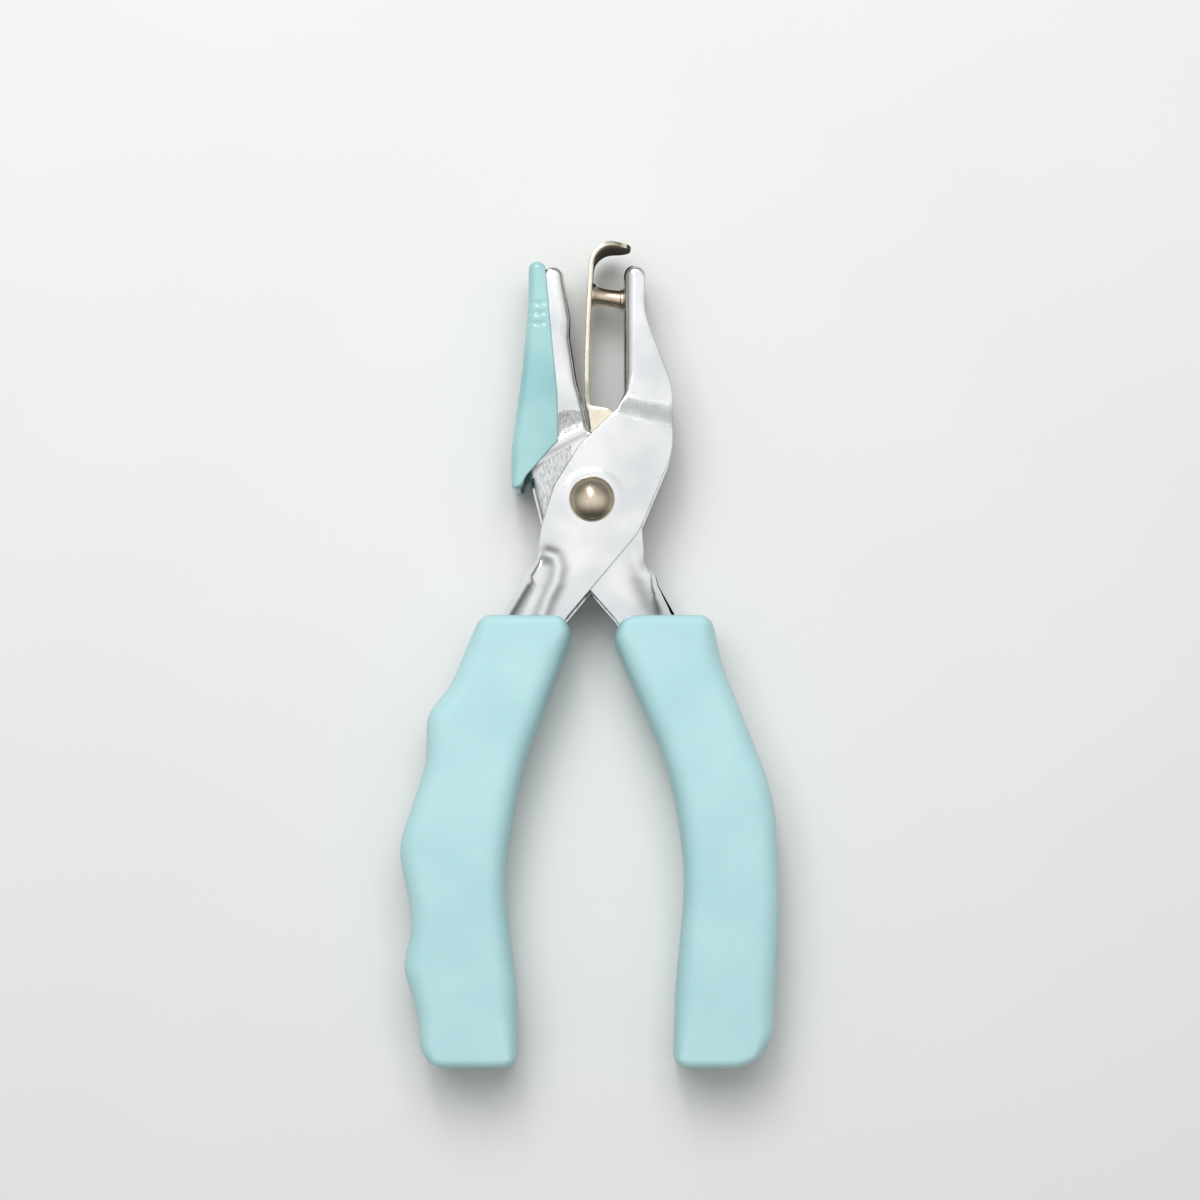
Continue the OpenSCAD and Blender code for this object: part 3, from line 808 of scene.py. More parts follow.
    def _inside(self, flat: np.ndarray, triangles: list[list[int]], points: np.ndarray, normals: np.ndarray,
                inset: np.ndarray, radius: np.ndarray, walls: np.ndarray,
                tops: list[list[bmesh.types.BMVert]], top: list[bmesh.types.BMVert],
                zero: list[bmesh.types.BMVert] | None, holes: list[np.ndarray]) -> None:
        """Adds the sheet's inner surface and closes its edges, its holes and the ends of its walls."""
        count = len(points)
        low = self._verts(flat, self.height(flat) - self.sheet)
        self._faces(low, triangles)
        unders = self._rows(points, normals, inset, radius, walls, under=True)
        self._stitch([low[:count], *unders], count)
        thick = np.minimum(self.sheet, 0.85 * inset)
        inner = self._verts(points + normals * thick[:, None], np.zeros(count)) if zero else []
        for i in range(count):
            j = (i + 1) % count
            if walls[i] and walls[j]:
                self.mesh.faces.new([unders[-1][i], unders[-1][j], inner[j], inner[i]])
            else:
                self.mesh.faces.new([tops[-1][i], tops[-1][j], unders[-1][j], unders[-1][i]])
                for k, other in ((i, i - 1), (j, (j + 1) % count)):
                    if walls[k] and walls[other]:
                        self.mesh.faces.new([tops[-1][k], zero[k], inner[k], unders[-1][k]])
        start = count
        for hole in holes:
            for i in range(len(hole)):
                a, b = start + i, start + (i + 1) % len(hole)
                self.mesh.faces.new([top[a], top[b], low[b], low[a]])
            start += len(hole)

    def _mirror(self) -> None:
        """Adds the lower half and welds it along the middle."""
        whole = self.mesh.verts[:] + self.mesh.edges[:] + self.mesh.faces[:]
        made = bmesh.ops.duplicate(self.mesh, geom=whole)
        for item in made["geom"]:
            if isinstance(item, bmesh.types.BMVert):
                item.co.z = -item.co.z
        middle = [v for v in self.mesh.verts if abs(v.co.z) < 1e-6]
        bmesh.ops.remove_doubles(self.mesh, verts=middle, dist=1e-4)


def lathe(profile: Sequence[tuple[float, float]], turned: Matrix, sides: int = 64) -> bmesh.types.BMesh:
    """Turns a profile about an axis.

    Args:
        profile: radii and heights from one end of the axis to the other; a radius of 0 closes an end.
        turned: puts the axis, which is Z, where it belongs.
        sides: points round it.

    Returns:
        The mesh.
    """
    mesh = bmesh.new()
    rings = []
    for radius, height in profile:
        if radius <= 0:
            rings.append([mesh.verts.new(turned @ Vector((0, 0, height)))] * sides)
            continue
        spots = [(radius * math.cos(2 * math.pi * k / sides), radius * math.sin(2 * math.pi * k / sides))
                 for k in range(sides)]
        rings.append([mesh.verts.new(turned @ Vector((x, y, height))) for x, y in spots])
    for a, b in zip(rings, rings[1:]):
        for k in range(sides):
            n = (k + 1) % sides
            face = list(dict.fromkeys([a[k], a[n], b[n], b[k]]))
            if len(face) > 2:
                mesh.faces.new(face)
    return mesh


def merged(meshes: Sequence[bmesh.types.BMesh]) -> bmesh.types.BMesh:
    """Joins meshes into the first one."""
    first = meshes[0]
    for other in meshes[1:]:
        held = bpy.data.meshes.new("held")
        other.to_mesh(held)
        other.free()
        first.from_mesh(held)
        bpy.data.meshes.remove(held)
    return first


# ---------------------------------------------------------------- the arms


@dataclass
class PunchArm:
    """The arm with the punch jaw and the left handle, folded from one sheet."""

    sheet: float = 1.2
    pivot_height: float = 6.8
    jaw_height: float = 6.0
    boss_radius: float = 6.1
    boss_rise: float = 0.12
    bore: float = 2.55
    jaw_roll: float = 1.9
    handle_roll: float = 4.4
    groove_depth: float = 0.8
    groove_width: float = 1.5
    joggle_low: float = 15.2
    joggle_high: float = 20.6
    joggle_slant: float = 0.22
    crease: Sequence[tuple[float, float]] = ((-8.2, -10.4), (-6.9, -10.9), (-6.3, -12.8),
                                             (-6.8, -15.6), (-8.4, -18.8), (-10.2, -24.0), (-13.0, -31.0))

    def outline(self) -> list[Corner]:
        """The arm's outline from the jaw's tip, down the back, round the tang and up the left side."""
        jaw, handle = self.jaw_roll, self.handle_roll
        return [
            Corner(6.0, 45.0, 2.1, jaw), Corner(10.2, 45.0, 2.1), Corner(9.8, 36.2, 14),
            Corner(15.3, 21.6, 14), Corner(15.3, 9.0, 14), Corner(8.9, -6.2, 16),
            Corner(-4.9, -22.5, 9), Corner(-10.3, -32.8, 20), Corner(-16.5, -52.0, 2),
            Corner(-27.0, -52.0, 2, handle), Corner(-22.7, -34.7, 30, handle),
            Corner(-17.7, -22.5, 15, handle), Corner(-12.6, -13.9, 4, handle), Corner(-10.4, -11.1, 1.6),
            Corner(-9.6, -5.2, 12), Corner(-7.2, 2.6, 8), Corner(-2.4, 10.4, 6),
            Corner(4.9, 17.4, 0.9), Corner(6.0, 20.5, 4, jaw)]

    def height(self, spots: np.ndarray) -> np.ndarray:
        """The outer height of the skin: the joggle to the jaw, the boss and the crease by the handle."""
        x, y = spots[:, 0], spots[:, 1]
        along = y + self.joggle_slant * (x - 6.0)
        level = self.pivot_height + (self.jaw_height - self.pivot_height) * ease(
            along, self.joggle_low, self.joggle_high)
        boss = self.boss_rise * (1 - ease(np.hypot(x, y), self.boss_radius - 1.1, self.boss_radius + 0.3))
        groove = np.exp(-(gap_to(spots, np.array(self.crease)) / self.groove_width) ** 2)
        return level + boss - self.groove_depth * groove

    def build(self) -> bpy.types.Object:
        """Makes the arm."""
        pressing = Pressing(self.outline(), self.height, self.sheet, holes=[(0, 0, self.bore)], pitch=0.55)
        return to_object("punch_arm_pressing", pressing.build())

    def dress(self, piece: bpy.types.Object, chrome: bpy.types.Material) -> None:
        """Gives the arm its finish and body."""
        place_piece(piece, Body.PUNCH_SIDE, ["punch_arm"], [chrome])


@dataclass
class DieArm:
    """The arm with the die jaw and the right handle; its skins lie inside the punch arm's."""

    sheet: float = 1.2
    pivot_height: float = 5.5
    jaw_height: float = 5.98
    bore: float = 2.55
    jaw_roll: float = 1.2
    handle_roll: float = 4.6
    heel_roll: float = 1.3
    groove_depth: float = 0.35
    groove_width: float = 1.8
    shoulder_from: tuple[float, float] = (-12.0, 5.9)
    shoulder_to: tuple[float, float] = (-0.6, 12.0)
    shoulder_width: float = 1.7
    heel_depth: float = 0.45
    hollow_depth: float = 0.4
    joggle_low: float = 13.6
    joggle_high: float = 17.4
    ring_lean: float = 8.8
    ring_room: float = 0.01
    drill_length: float = 3.6
    crease: Sequence[tuple[float, float]] = ((7.9, -9.8), (9.2, -14.0), (11.2, -18.5), (15.5, -27.0))
    back: Sequence[tuple[float, float]] = ((12.3, -13.0), (16.3, -22.5), (22.7, -34.7), (27.0, -52.0))
    back_round: float = 9.0
    back_fall: float = 1.9

    def outline(self) -> list[Corner]:
        """The arm's outline from the jaw's tip, down its face, round the tang and up the heel."""
        jaw, handle, heel = self.jaw_roll, self.handle_roll, self.heel_roll
        return [
            Corner(-9.0, 44.7, 1.6, jaw), Corner(-5.7, 44.7, 2.0, jaw), Corner(-4.0, 34.4, 2.5, jaw),
            Corner(-4.15, 31.2, 2.0, jaw), Corner(-2.9, 22.8, 14, jaw), Corner(-1.7, 18.2, 5, jaw),
            Corner(-0.6, 13.6, 0.8), Corner(7.2, 7.0, 5), Corner(9.3, -2.0, 8), Corner(9.75, -9.0, 6),
            Corner(9.85, -12.3, 1.6), Corner(12.1, -13.8, 1.2, handle), Corner(12.6, -15.8, 2, handle),
            Corner(16.3, -22.5, 15, handle), Corner(22.7, -34.7, 30, handle), Corner(27.0, -52.0, 2),
            Corner(16.8, -52.0, 2), Corner(10.8, -32.8, 20), Corner(4.4, -22.5, 6),
            Corner(-4.5, -12.4, 3), Corner(-9.5, -10.5, 0.8, heel), Corner(-9.5, -5.0, 8, heel),
            Corner(-11.0, 1.0, 5, heel), Corner(-11.7, 4.2, 1.2), Corner(-12.2, 11.5, 3),
            Corner(-11.0, 20.0, 20), Corner(-10.0, 30.0, 20), Corner(-9.5, 38.7, 10)]

    def beyond_shoulder(self, spots: np.ndarray) -> np.ndarray:
        """How far each point lies past the shoulder's foot, towards the jaw."""
        start, end = np.array(self.shoulder_from), np.array(self.shoulder_to)
        along = (end - start) / np.linalg.norm(end - start)
        return (spots - start) @ np.array([-along[1], along[0]])

    def height(self, spots: np.ndarray) -> np.ndarray:
        """The outer height of the skin: flat at the rivet, sunk at the heel, a shoulder, then the jaw."""
        past = self.beyond_shoulder(spots)
        sunk = (1 - ease(past, 0, self.shoulder_width)) * ease(np.hypot(spots[:, 0], spots[:, 1]), 5.0, 7.0)
        level = self.pivot_height - self.heel_depth * sunk * (1 - ease(-spots[:, 1], 2.0, 6.0))
        level = level + (self.jaw_height - self.pivot_height) * ease(
            spots[:, 1], self.joggle_low, self.joggle_high)
        hollow = ease(past, 2.2, 3.4) * (1 - ease(past, 5.0, 9.0)) * ease(spots[:, 0], -7.5, -5.5)
        groove = np.exp(-(gap_to(spots, np.array(self.crease)) / self.groove_width) ** 2)
        far = np.clip(gap_to(spots, np.array(self.back)) / self.back_round, 0, 1)
        fall = self.back_fall * (1 - far) ** 2 * ease(-spots[:, 1], 9.0, 15.0)
        return level - self.hollow_depth * hollow - self.groove_depth * groove - fall

    def build(self) -> bpy.types.Object:
        """Makes the arm."""
        pressing = Pressing(self.outline(), self.height, self.sheet, holes=[(0, 0, self.bore)], pitch=0.55)
        arm = to_object("die_arm_pressing", pressing.build())
        low, high = (Vector(corner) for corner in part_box("die_ring"))
        seat = ((low + high) / 2 - PIVOT) / MM
        turned = Matrix.Translation(seat) @ Matrix.Rotation(math.radians(self.ring_lean), 4, "Z") @ (
            Matrix.Rotation(math.radians(90), 4, "Y"))
        bore_through(arm, turned, (high.z - low.z) / 2 / MM + self.ring_room, self.drill_length)
        return arm

    def dress(self, piece: bpy.types.Object, chrome: bpy.types.Material,
              rubbed: bpy.types.Material) -> None:
        """Gives the arm its finishes and body: the recess below the shoulder is rubbed, not bright."""
        place_piece(piece, Body.DIE_SIDE, ["die_arm"], [chrome, rubbed])
        for face in piece.data.polygons:
            spot = (face.center - PIVOT) / MM
            past = self.beyond_shoulder(np.array([[spot.x, spot.y]]))[0]
            low = past < 0.1 and spot.x < -4 and spot.y > -3.5
            high = 2.6 < past < 6.5 and -7.6 < spot.x < -1.5 and spot.y < 17
            if abs(face.normal.z) > 0.8 and (low or high):
                face.material_index = 1


# ---------------------------------------------------------------- the grips


@dataclass
class Grip:
    """A moulded grip: its outline with long soft edges, slightly crowned on both faces."""

    name: str
    node: str
    body: Body
    corners: Sequence[tuple[float, float, float]]
    thick: float = 18.0
    roll: float = 3.8
    end_roll: float = 1.7
    crown: float = 0.25

    def height(self, spots: np.ndarray) -> np.ndarray:
        """The height of the grip's face, a little lower towards its ends."""
        middle = (self.low + self.high) / 2
        half = (self.high - self.low) / 2
        return self.thick / 2 - self.crown * np.clip(np.abs(spots[:, 1] - middle) / half, 0, 1) ** 3

    def build(self) -> bpy.types.Object:
        """Makes the grip."""
        self.low = min(c[1] for c in self.corners)
        self.high = max(c[1] for c in self.corners)
        ends = [c[1] == d[1] for c, d in zip(self.corners, [*self.corners[1:], self.corners[0]])]
        outline = [Corner(*c, self.end_roll if end else self.roll) for c, end in zip(self.corners, ends)]
        pressing = Pressing(outline, self.height, 0.0, pitch=0.9, steps=10)
        return to_object(self.name, pressing.build(), 60)

    def dress(self, piece: bpy.types.Object, vinyl: bpy.types.Material) -> None:
        """Gives the grip its finish and body."""
        place_piece(piece, self.body, [self.node], [vinyl])


LEFT_GRIP = Grip(
    "left_grip_moulding", "left_grip", Body.PUNCH_SIDE,
    [(-21.0, -21.9, 2.5), (-26.5, -35.0, 14), (-31.0, -40.7, 6), (-31.0, -49.6, 16), (-36.3, -65.6, 12),
     (-33.3, -79.4, 20), (-35.2, -87.8, 6), (-32.2, -97.1, 20), (-31.7, -106.2, 7.5), (-14.0, -106.2, 2),
     (-14.2, -92.2, 30), (-16.8, -70.9, 50), (-13.4, -51.2, 60), (-2.5, -21.9, 3.4)])
RIGHT_GRIP = Grip(
    "right_grip_moulding", "right_grip", Body.DIE_SIDE,
    [(2.1, -21.9, 4.2), (22.5, -21.9, 2.5), (24.3, -30.9, 20), (34.4, -56.1, 40), (35.0, -77.3, 90),
     (33.5, -106.2, 8), (15.3, -106.2, 2), (15.7, -93.2, 35), (17.8, -70.4, 60), (15.1, -51.6, 60)])


# ---------------------------------------------------------------- rivet, pin, strip, spring


@dataclass
class Rivet:
    """The pivot rivet, with a domed head in front and a spun tail behind."""

    shank: float = 2.5
    head: float = 4.3
    rise: float = 2.1
    seat: float = 7.05
    tail_seat: float = -7.6
    tail: float = 0.8

    def build(self) -> bpy.types.Object:
        """Makes the rivet."""
        cap = (self.head ** 2 + self.rise ** 2) / (2 * self.rise)
        lean = math.asin(self.head / cap)
        dome = [(cap * math.sin(lean * k / 20), self.seat + self.rise - cap * (1 - math.cos(lean * k / 20)))
                for k in range(19)]
        rim = [(self.head - 0.03, self.seat + 0.28), (self.head, self.seat + 0.16),
               (self.head - 0.05, self.seat + 0.03), (self.head - 0.2, self.seat)]
        low = self.tail_seat
        tail = [(self.shank, low), (2.75, low), (3.2, low - 0.12), (3.35, low - self.tail * 0.45),
                (3.1, low - self.tail * 0.85), (2.7, low - self.tail), (1.6, low - self.tail * 0.9),
                (1.2, low - self.tail * 0.72), (0, low - self.tail * 0.7)]
        return to_object("pivot_rivet_turned",
                         lathe([*dome, *rim, (self.shank, self.seat), *tail], Matrix.Identity(4), 96), 50)

    def dress(self, piece: bpy.types.Object, plate: bpy.types.Material) -> None:
        """Gives the rivet its finish and body."""
        place_piece(piece, Body.DIE_SIDE, ["pivot_rivet"], [plate])


@dataclass
class Pin:
    """The punch pin: a collar on the jaw's wall, a waisted body and a flared cutting end."""

    seat: tuple[float, float] = (6.0, 39.1)
    tilt: float = 9.0
    length: float = 6.7
    neck: float = 1.88
    cutting: float = 2.38
    collar: float = 2.2
    shank: float = 1.5

    def build(self) -> bpy.types.Object:
        """Makes the pin."""
        seat = Matrix.Translation((*self.seat, 0.0))
        square = seat @ Matrix.Rotation(math.radians(-90), 4, "Y")
        leaning = seat @ Matrix.Rotation(math.radians(-self.tilt), 4, "Z") @ Matrix.Rotation(
            math.radians(-90), 4, "Y")
        fixed = lathe([(0, -1.9), (1.5, -1.9), (2.1, -1.75), (2.2, -1.4), (1.9, -1.2), (self.shank, -1.2),
                       (self.shank, 0.0), (self.collar - 0.1, 0.0), (self.collar, 0.1),
                       (self.collar, 0.45), (self.collar - 0.15, 0.6), (0, 0.6)], square, 48)
        waist = [(self.neck - 0.2 * math.sin(math.pi * s) + (self.cutting - self.neck) * s ** 6,
                  0.6 + s * (self.length - 1.5)) for s in (k / 20 for k in range(21))]
        body = lathe([(0, 0.3), (self.neck - 0.25, 0.3), *waist, (self.cutting, self.length - 0.6),
                      (self.cutting, self.length - 0.05), (self.cutting - 0.06, self.length),
                      (self.cutting - 0.5, self.length), (0, self.length - 0.35)], leaning, 48)
        return to_object("punch_pin_turned", merged([fixed, body]), 40)

    def dress(self, piece: bpy.types.Object, plate: bpy.types.Material) -> None:
        """Gives the pin its finish and body."""
        place_piece(piece, Body.PUNCH_SIDE, ["punch_pin"], [plate])


@dataclass
class StripperStrip:
    """The spring-steel strip: ears on the rivet, a straight run with a hole, and a hooked tongue."""

    sheet: float = 0.9
    half_wide: float = 5.5
    half_narrow: float = 4.1
    run: Sequence[tuple[float, float]] = ((-0.1, 15.0), (-1.1, 18.0), (-1.46, 20.0), (-1.42, 27.0),
                                          (-1.2, 34.0), (-0.88, 40.5))
    hook_centre: tuple[float, float] = (3.9, 45.1)
    hook_radius: float = 4.5
    reach: float = 7.4
    ear: float = 4.5
    ear_from: float = 3.42
    ear_sheet: float = 0.76
    bore: float = 2.55
    hole_radius: float = 2.83
    hole_up: float = 40.0

    def centreline(self) -> list[Vector]:
        """The middle of the strip's thickness, from the ears to the tip."""
        mid_radius = self.hook_radius - self.sheet / 2
        centre = Vector(self.hook_centre)
        half = self.sheet / 2
        start = [Vector((x + half, y)) for x, y in self.run]
        arc = [centre + mid_radius * Vector((math.cos(a), math.sin(a)))
               for a in (math.radians(d) for d in range(180, 89, -5))]
        tip = Vector((self.reach, self.hook_centre[1] + mid_radius - 0.25))
        return [*start, *arc, arc[-1].lerp(tip, 0.5), tip]

    def build(self) -> bpy.types.Object:
        """Makes the strip."""
        line = self.centreline()
        lengths = [0.0]
        for a, b in zip(line, line[1:]):
            lengths.append(lengths[-1] + (b - a).length)
        total = lengths[-1]
        xs, ys = [p.x for p in line], [p.y for p in line]
        wide, narrow = self.half_wide, self.half_narrow
        flat = Pressing(
            [Corner(0, -narrow, 0.3), Corner(3.6, -narrow, 1.5), Corner(8.0, -wide, 3),
             Corner(total, -wide, 5.3), Corner(total, wide, 5.3), Corner(8.0, wide, 3),
             Corner(3.6, narrow, 1.5), Corner(0, narrow, 0.3)],
            lambda spots: np.full(len(spots), self.sheet / 2), self.sheet,
            holes=[(float(np.interp(self.hole_up, ys[:8], lengths[:8])), 0, self.hole_radius)],
            pitch=0.6, mirrored=False, edge=0.14, steps=3).build()
        for vert in flat.verts:
            s, across, off = vert.co
            x, y = np.interp(s, lengths, xs), np.interp(s, lengths, ys)
            ahead = Vector((np.interp(s + 0.4, lengths, xs), np.interp(s + 0.4, lengths, ys)))
            behind = Vector((np.interp(s - 0.4, lengths, xs), np.interp(s - 0.4, lengths, ys)))
            along = (ahead - behind).normalized()
            vert.co = (x - along.y * off, y + along.x * off, across)
        return to_object("stripper_strip_bent", merged([flat, self._ear(1), self._ear(-1)]), 40)

    def _ear(self, side: int) -> bmesh.types.BMesh:
        """One ear, a flat plate beside the spring with the rivet's hole in it."""
        ear = self.ear
        plate = Pressing(
            [Corner(-0.9, 18.4, 0.5), Corner(4.3, 17.6, 1.6), Corner(ear, 4.0, 4), Corner(ear, -2.0, 4.3),
             Corner(0.0, -ear, 4.3), Corner(-ear, -2.0, 4.3), Corner(-ear + 0.1, 1.6, 2),
             Corner(-0.2, 13.2, 3)],
            lambda spots: np.full(len(spots), self.ear_from + self.ear_sheet), self.ear_sheet,
            holes=[(0, 0, self.bore)], pitch=0.8, mirrored=False, edge=0.14, steps=3).build()
        if side < 0:
            for vert in plate.verts:
                vert.co.z = -vert.co.z
        return plate

    def dress(self, piece: bpy.types.Object, plate: bpy.types.Material, dark: bpy.types.Material) -> None:
        """Gives the strip its finishes and body: painted shade covers the inside of the hook."""
        place_piece(piece, Body.STRIPPER, ["stripper_strip"], [plate, dark])
        # faces facing down or back into the hook get the painted shade material
        centre = Vector((*self.hook_centre, 0.0))
        for face in piece.data.polygons:
            spot = (face.center - PIVOT) / MM
            inner = face.normal.y < -0.25 or (face.normal.x > 0.5 and spot.y > centre.y - 1.5)
            if spot.y > centre.y - 3.0 and abs(face.normal.z) < 0.5 and inner:
                face.material_index = 1


@dataclass
class Spring:
    """The torsion spring: a coil round the sleeve, one leg by the stripper, one in the punch handle."""

    wire: float = 1.0
    coil: float = 3.9
    turns: int = 5
    rise: float = 5.5
    up_angle: float = 11.0
    down_angle: float = -44.5
    up_leg: float = 16.2
    down_leg: float = 22.6
    bend_from: float = -4.6
    bend_to: float = -12.0

    def path(self) -> list[Vector]:
        """The wire's centreline."""
        up, down = math.radians(self.up_angle), math.radians(self.down_angle)
        turned = 2 * math.pi * self.turns + up - down
        steps = 24 * (self.turns + 1)
        line = [Vector((self.coil * math.cos(up - turned * k / steps),
                        self.coil * math.sin(up - turned * k / steps),
                        self.rise / 2 - self.rise * k / steps)) for k in range(steps + 1)]
        first = line[0] + self.up_leg * Vector((-math.sin(up), math.cos(up), 0))
        last = line[-1] + self.down_leg * Vector((math.sin(down), -math.cos(down), 0))
        return [first, *line, last]

    def build(self) -> bpy.types.Object:
        """Makes the spring as a round wire swept along its path."""
        line, sides, mesh = self.path(), 12, bmesh.new()
        rings = []
        for k, point in enumerate(line):
            along = (line[min(k + 1, len(line) - 1)] - line[max(k - 1, 0)]).normalized()
            side = along.cross(Vector((0, 0, 1))).normalized()
            over = side.cross(along)
            rings.append([mesh.verts.new(point + self.wire / 2 * (
                side * math.cos(2 * math.pi * n / sides) + over * math.sin(2 * math.pi * n / sides)))
                for n in range(sides)])
        for a, b in zip(rings, rings[1:]):
            for n in range(sides):
                mesh.faces.new([a[n], a[(n + 1) % sides], b[(n + 1) % sides], b[n]])
        mesh.faces.new(rings[0])
        mesh.faces.new(rings[-1][::-1])
        return to_object("torsion_spring_wound", mesh, 50)

    def dress(self, piece: bpy.types.Object, steel: bpy.types.Material) -> None:
        """Gives the spring its finish; its transform is baked and it is tied to no body."""
        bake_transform(piece)
        place_piece(piece, Body.DIE_SIDE, ["torsion_spring"], [steel], rides=False)


# ---------------------------------------------------------------- the catcher


@dataclass
class Catcher:
    """The chip catcher: a thin moulded shell, open towards the jaw, with three grip grooves."""

    wall: float = 0.96
    face: float = 7.1
    dome: float = 0.3
    roll: float = 1.5
    hinge: tuple[float, float] = (-12.6, 6.3)
    peg: float = 0.75
    peg_low: float = 5.75
    peg_high: float = 6.6
    grooves: Sequence[float] = (33.6, 35.5, 37.4)
    groove_depth: float = 0.22
    groove_width: float = 0.34

    def outline(self) -> list[Corner]:
        """The catcher's outline from its top, down the open side and up the outer side."""
        roll = self.roll
        return [
            Corner(-12.0, 45.5, 2.4, roll), Corner(-8.9, 45.5, 1.9), Corner(-8.5, 40.7, 8),
            Corner(-7.4, 28.8, 20), Corner(-6.5, 20.0, 20), Corner(-6.4, 11.2, 1.2),
            Corner(-12.5, 4.3, 2.2), Corner(-13.3, 2.0, 1.6, roll), Corner(-15.2, 2.0, 2.2, roll),
            Corner(-15.3, 9.0, 20, roll), Corner(-13.3, 24.0, 40, roll), Corner(-12.1, 37.0, 20, roll)]

    def height(self, spots: np.ndarray) -> np.ndarray:
        """The outer height of the catcher's face, domed across, with the grooves."""
        x, y = spots[:, 0], spots[:, 1]
        middle = np.interp(y, [2, 20, 45], [-12.2, -10.2, -10.4])
        domed = self.face - self.dome * np.clip(np.abs(x - middle) / 3.6, 0, 1.2) ** 2
        across = ease(x, -12.9, -11.9) * (1 - ease(x, -9.4, -8.6))
        cut = sum(np.exp(-((y - g) / self.groove_width) ** 2) for g in self.grooves)
        return domed - self.groove_depth * cut * across

    def build(self) -> bpy.types.Object:
        """Makes the catcher with its hinge pegs."""
        shell = Pressing(self.outline(), self.height, self.wall, pitch=0.36, steps=7, edge=0.3,
                         fade=2.0).build()
        meshes = [shell]
        for side in (1, -1):
            turned = Matrix.Translation((*self.hinge, 0.0)) @ Matrix.Diagonal((1, 1, side, 1))
            meshes.append(lathe([(0, self.peg_low), (self.peg - 0.1, self.peg_low),
                                 (self.peg, self.peg_low + 0.1), (self.peg, self.peg_high),
                                 (0, self.peg_high)], turned, 32))
        return to_object("chip_catcher_moulding", merged(meshes), 40)

    def dress(self, piece: bpy.types.Object, abs_plastic: bpy.types.Material) -> None:
        """Gives the catcher its finish and body."""
        place_piece(piece, Body.CATCHER, ["chip_catcher"], [abs_plastic])


# ---------------------------------------------------------------- studio


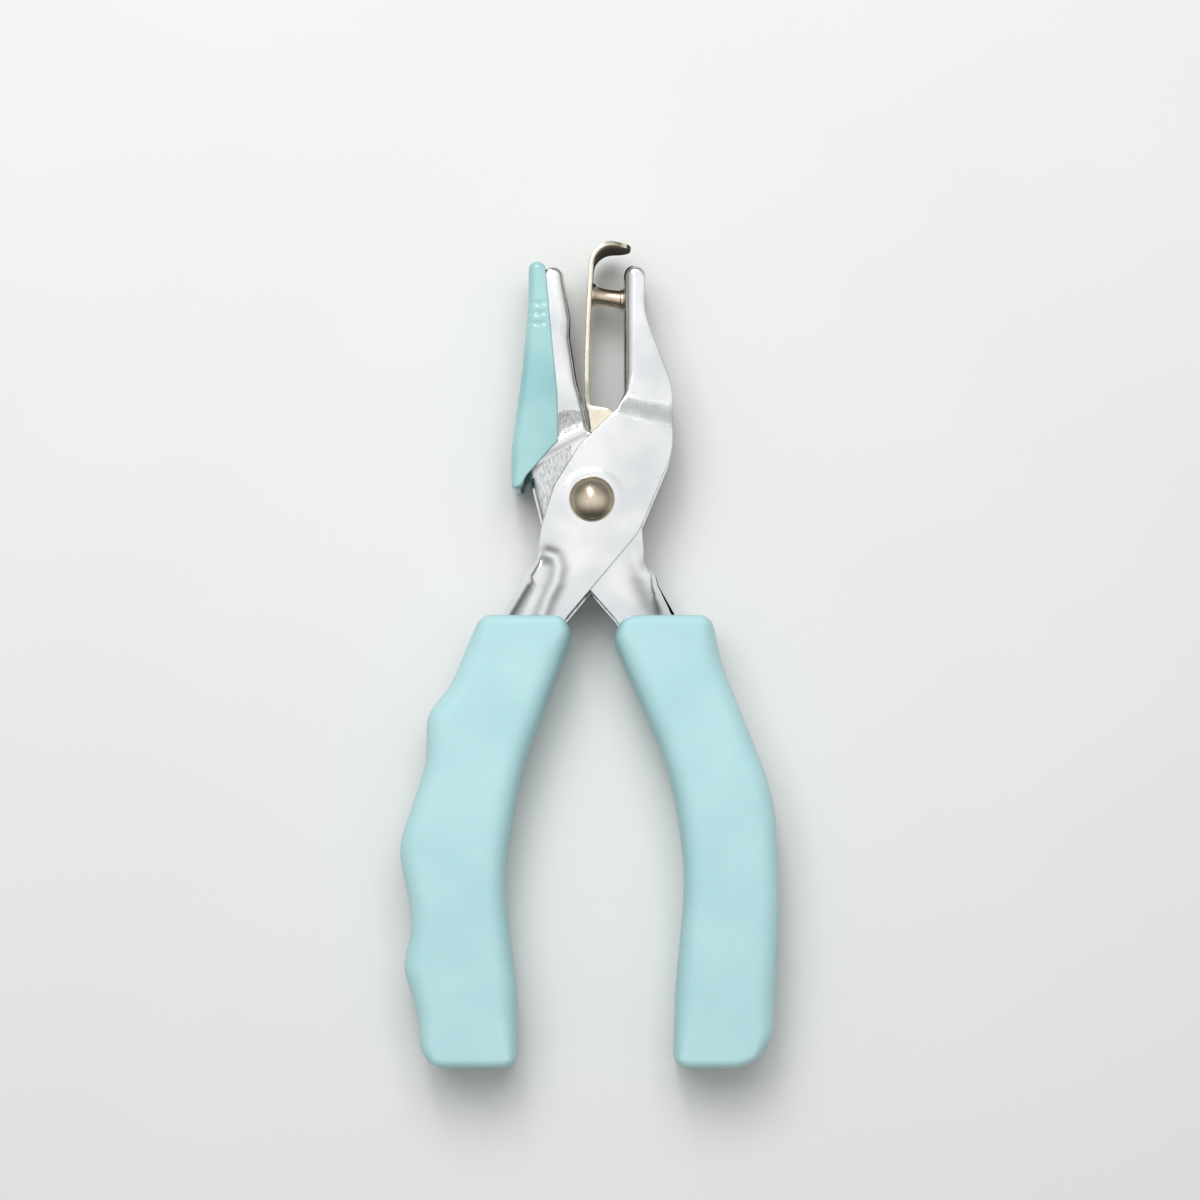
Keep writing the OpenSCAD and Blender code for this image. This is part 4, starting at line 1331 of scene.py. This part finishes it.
@dataclass
class Studio:
    """A pale floor, soft lamps overhead, and the camera over the tool."""

    aim: Triple = (1.52, -18.5, 0.0)
    distance: float = 600.0
    lean: float = 4.7
    view_width: float = 228.0
    sensor: float = 36.0
    floor_half: float = 12000.0
    floor: str = "D6D7D6"
    key_power: float = 3.6
    glint_power: float = 1.0

    def build(self) -> None:
        """Makes the floor, the light and the camera."""
        self._floor()
        self._sky()
        self._lamps()
        self._camera()
        bpy.context.scene.view_settings.view_transform = "Standard"

    def _floor(self) -> None:
        """A pale, plain floor under the tool."""
        mesh = bmesh.new()
        bmesh.ops.create_grid(mesh, x_segments=8, y_segments=8, size=self.floor_half * MM)
        data = bpy.data.meshes.new("floor")
        mesh.to_mesh(data)
        mesh.free()
        floor = bpy.data.objects.new("floor", data)
        floor.location.z = -0.02 * MM
        bpy.context.scene.collection.objects.link(floor)
        material, tree, place = new_tree("pale_paper")
        cloud = add_node(tree, "ShaderNodeTexNoise", {"Scale": per_metre(60.0)}, {"Vector": place})
        colour = ramp(tree, cloud.outputs["Fac"], [(0.2, self.floor), (0.8, "D9DAD9")])
        finish_tree(tree, {"Roughness": 0.8}, {"Base Color": colour})
        data.materials.append(material)

    def _sky(self) -> None:
        """Soft surroundings: white overhead, darker lower down, and pale again at the horizon."""
        world = bpy.data.worlds.new("studio")
        bpy.context.scene.world = world
        world.use_nodes = True
        tree = world.node_tree
        tree.nodes.clear()
        way = add_node(tree, "ShaderNodeTexCoord").outputs["Generated"]
        parts = add_node(tree, "ShaderNodeSeparateXYZ", links={"Vector": way})
        height = ramp(tree, parts.outputs["Z"], [(0.0, "D6D6D4"), (0.1, "C4C4C2"), (0.27, "7C7C7A"),
                                                 (0.5, "A6A7A3"), (0.8, "E3E4E2"), (1.0, "FFFFFF")])
        across = add_node(tree, "ShaderNodeMath", {"operation": "MULTIPLY_ADD", 1: 0.5, 2: 0.5},
                          {0: parts.outputs["Y"]}).outputs["Value"]
        depth = ramp(tree, across, [(0.007, "D2D1CF"), (0.022, "605D5A"), (0.15, "8C8A87"),
                                    (0.27, "E6E6E4"), (0.38, "FFFFFF"),
                                    (0.58, "FFFFFF"), (0.70, "DCDDDD"), (0.95, "CACAC9")])
        colour = add_node(tree, "ShaderNodeMix", {"data_type": "RGBA", "blend_type": "MULTIPLY"})
        colour.inputs[0].default_value = 1.0
        tree.links.new(height, colour.inputs[6])
        tree.links.new(depth, colour.inputs[7])
        colour = colour.outputs[2]
        light = add_node(tree, "ShaderNodeBackground", {"Strength": 1.0}, {"Color": colour})
        add_node(tree, "ShaderNodeOutputWorld", links={"Surface": light.outputs["Background"]})

    def _lamps(self) -> None:
        """A wide soft box above the jaws' end, and a small lamp that gives the curves their glints."""
        box = self._lamp("soft_box", (0.6, 0.45), self.key_power, (-60, 260, 620))
        box.visible_glossy = False
        self._lamp("glint", (0.12, 0.42), self.glint_power, (-95, 400, 620))

    def _lamp(self, name: str, size: tuple[float, float], power: float, place: Triple) -> bpy.types.Object:
        """An area lamp turned to the rivet.

        Args:
            name: its name.
            size: its sides, in metres.
            power: its power, in watts.
            place: where it hangs, in mm about the rivet.

        Returns:
            The lamp.
        """
        data = bpy.data.lights.new(name, "AREA")
        data.shape = "RECTANGLE"
        data.size, data.size_y = size
        data.energy = power
        lamp = bpy.data.objects.new(name, data)
        lamp.location = PIVOT + Vector(place) * MM
        lamp.rotation_euler = (PIVOT - lamp.location).to_track_quat("-Z", "Y").to_euler()
        bpy.context.scene.collection.objects.link(lamp)
        return lamp

    def _camera(self) -> None:
        """The camera, a little towards the handles from straight overhead."""
        data = bpy.data.cameras.new("camera")
        data.sensor_width = self.sensor
        data.lens = self.sensor * self.distance / self.view_width
        data.clip_start, data.clip_end = 0.01, 60.0
        camera = bpy.data.objects.new("camera", data)
        back = math.radians(self.lean)
        aim = PIVOT + Vector(self.aim) * MM
        camera.location = aim + Vector((0, -math.sin(back), math.cos(back))) * self.distance * MM
        camera.rotation_euler = (back, 0.0, 0.0)
        bpy.context.scene.collection.objects.link(camera)
        bpy.context.scene.camera = camera


# ---------------------------------------------------------------- the whole tool


@dataclass
class CraftPunch:
    """The whole tool, piece by piece."""

    punch_arm: PunchArm = field(default_factory=PunchArm)
    die_arm: DieArm = field(default_factory=DieArm)
    grips: Sequence[Grip] = (LEFT_GRIP, RIGHT_GRIP)
    rivet: Rivet = field(default_factory=Rivet)
    pin: Pin = field(default_factory=Pin)
    strip: StripperStrip = field(default_factory=StripperStrip)
    spring: Spring = field(default_factory=Spring)
    catcher: Catcher = field(default_factory=Catcher)

    def build(self) -> None:
        """Builds and dresses every piece."""
        chrome, rubbed = BrightChrome().build(), RubbedChrome().build()
        plate = ChampagnePlate("champagne_plate").build()
        pale = ChampagnePlate("champagne_strip", "F0E8D6", "D8CCB4", 0.2).build()
        # dark: the painted shade for the inside of the strip's hook
        dark = PaintedHookShade().build()
        steel, vinyl, abs_plastic = DrawnSteel().build(), MouldedVinyl().build(), GlossAbs().build()
        self.punch_arm.dress(self.punch_arm.build(), chrome)
        self.die_arm.dress(self.die_arm.build(), chrome, rubbed)
        for grip in self.grips:
            grip.dress(grip.build(), vinyl)
        self.rivet.dress(self.rivet.build(), plate)
        self.pin.dress(self.pin.build(), plate)
        self.strip.dress(self.strip.build(), pale, dark)
        self.spring.dress(self.spring.build(), steel)
        self.catcher.dress(self.catcher.build(), abs_plastic)
        self._dress_frame_nodes(plate, steel)

    def _dress_frame_nodes(self, plate: bpy.types.Material, steel: bpy.types.Material) -> None:
        """Dresses the frame's own nodes that are shown as they are."""
        for name, material in (("rivet_washer", plate), ("spring_sleeve", steel), ("die_ring", steel)):
            node = frame["nodes"][name]
            node.data.materials.clear()
            node.data.materials.append(material)
            log.info("%s: frame node, %s", name, material.name)


def main() -> None:
    """Builds the studio and the tool."""
    logging.basicConfig(level=logging.INFO, format="%(name)s: %(message)s")
    Studio().build()
    CraftPunch().build()
    bpy.context.view_layer.update()


if __name__ == "__main__":
    main()
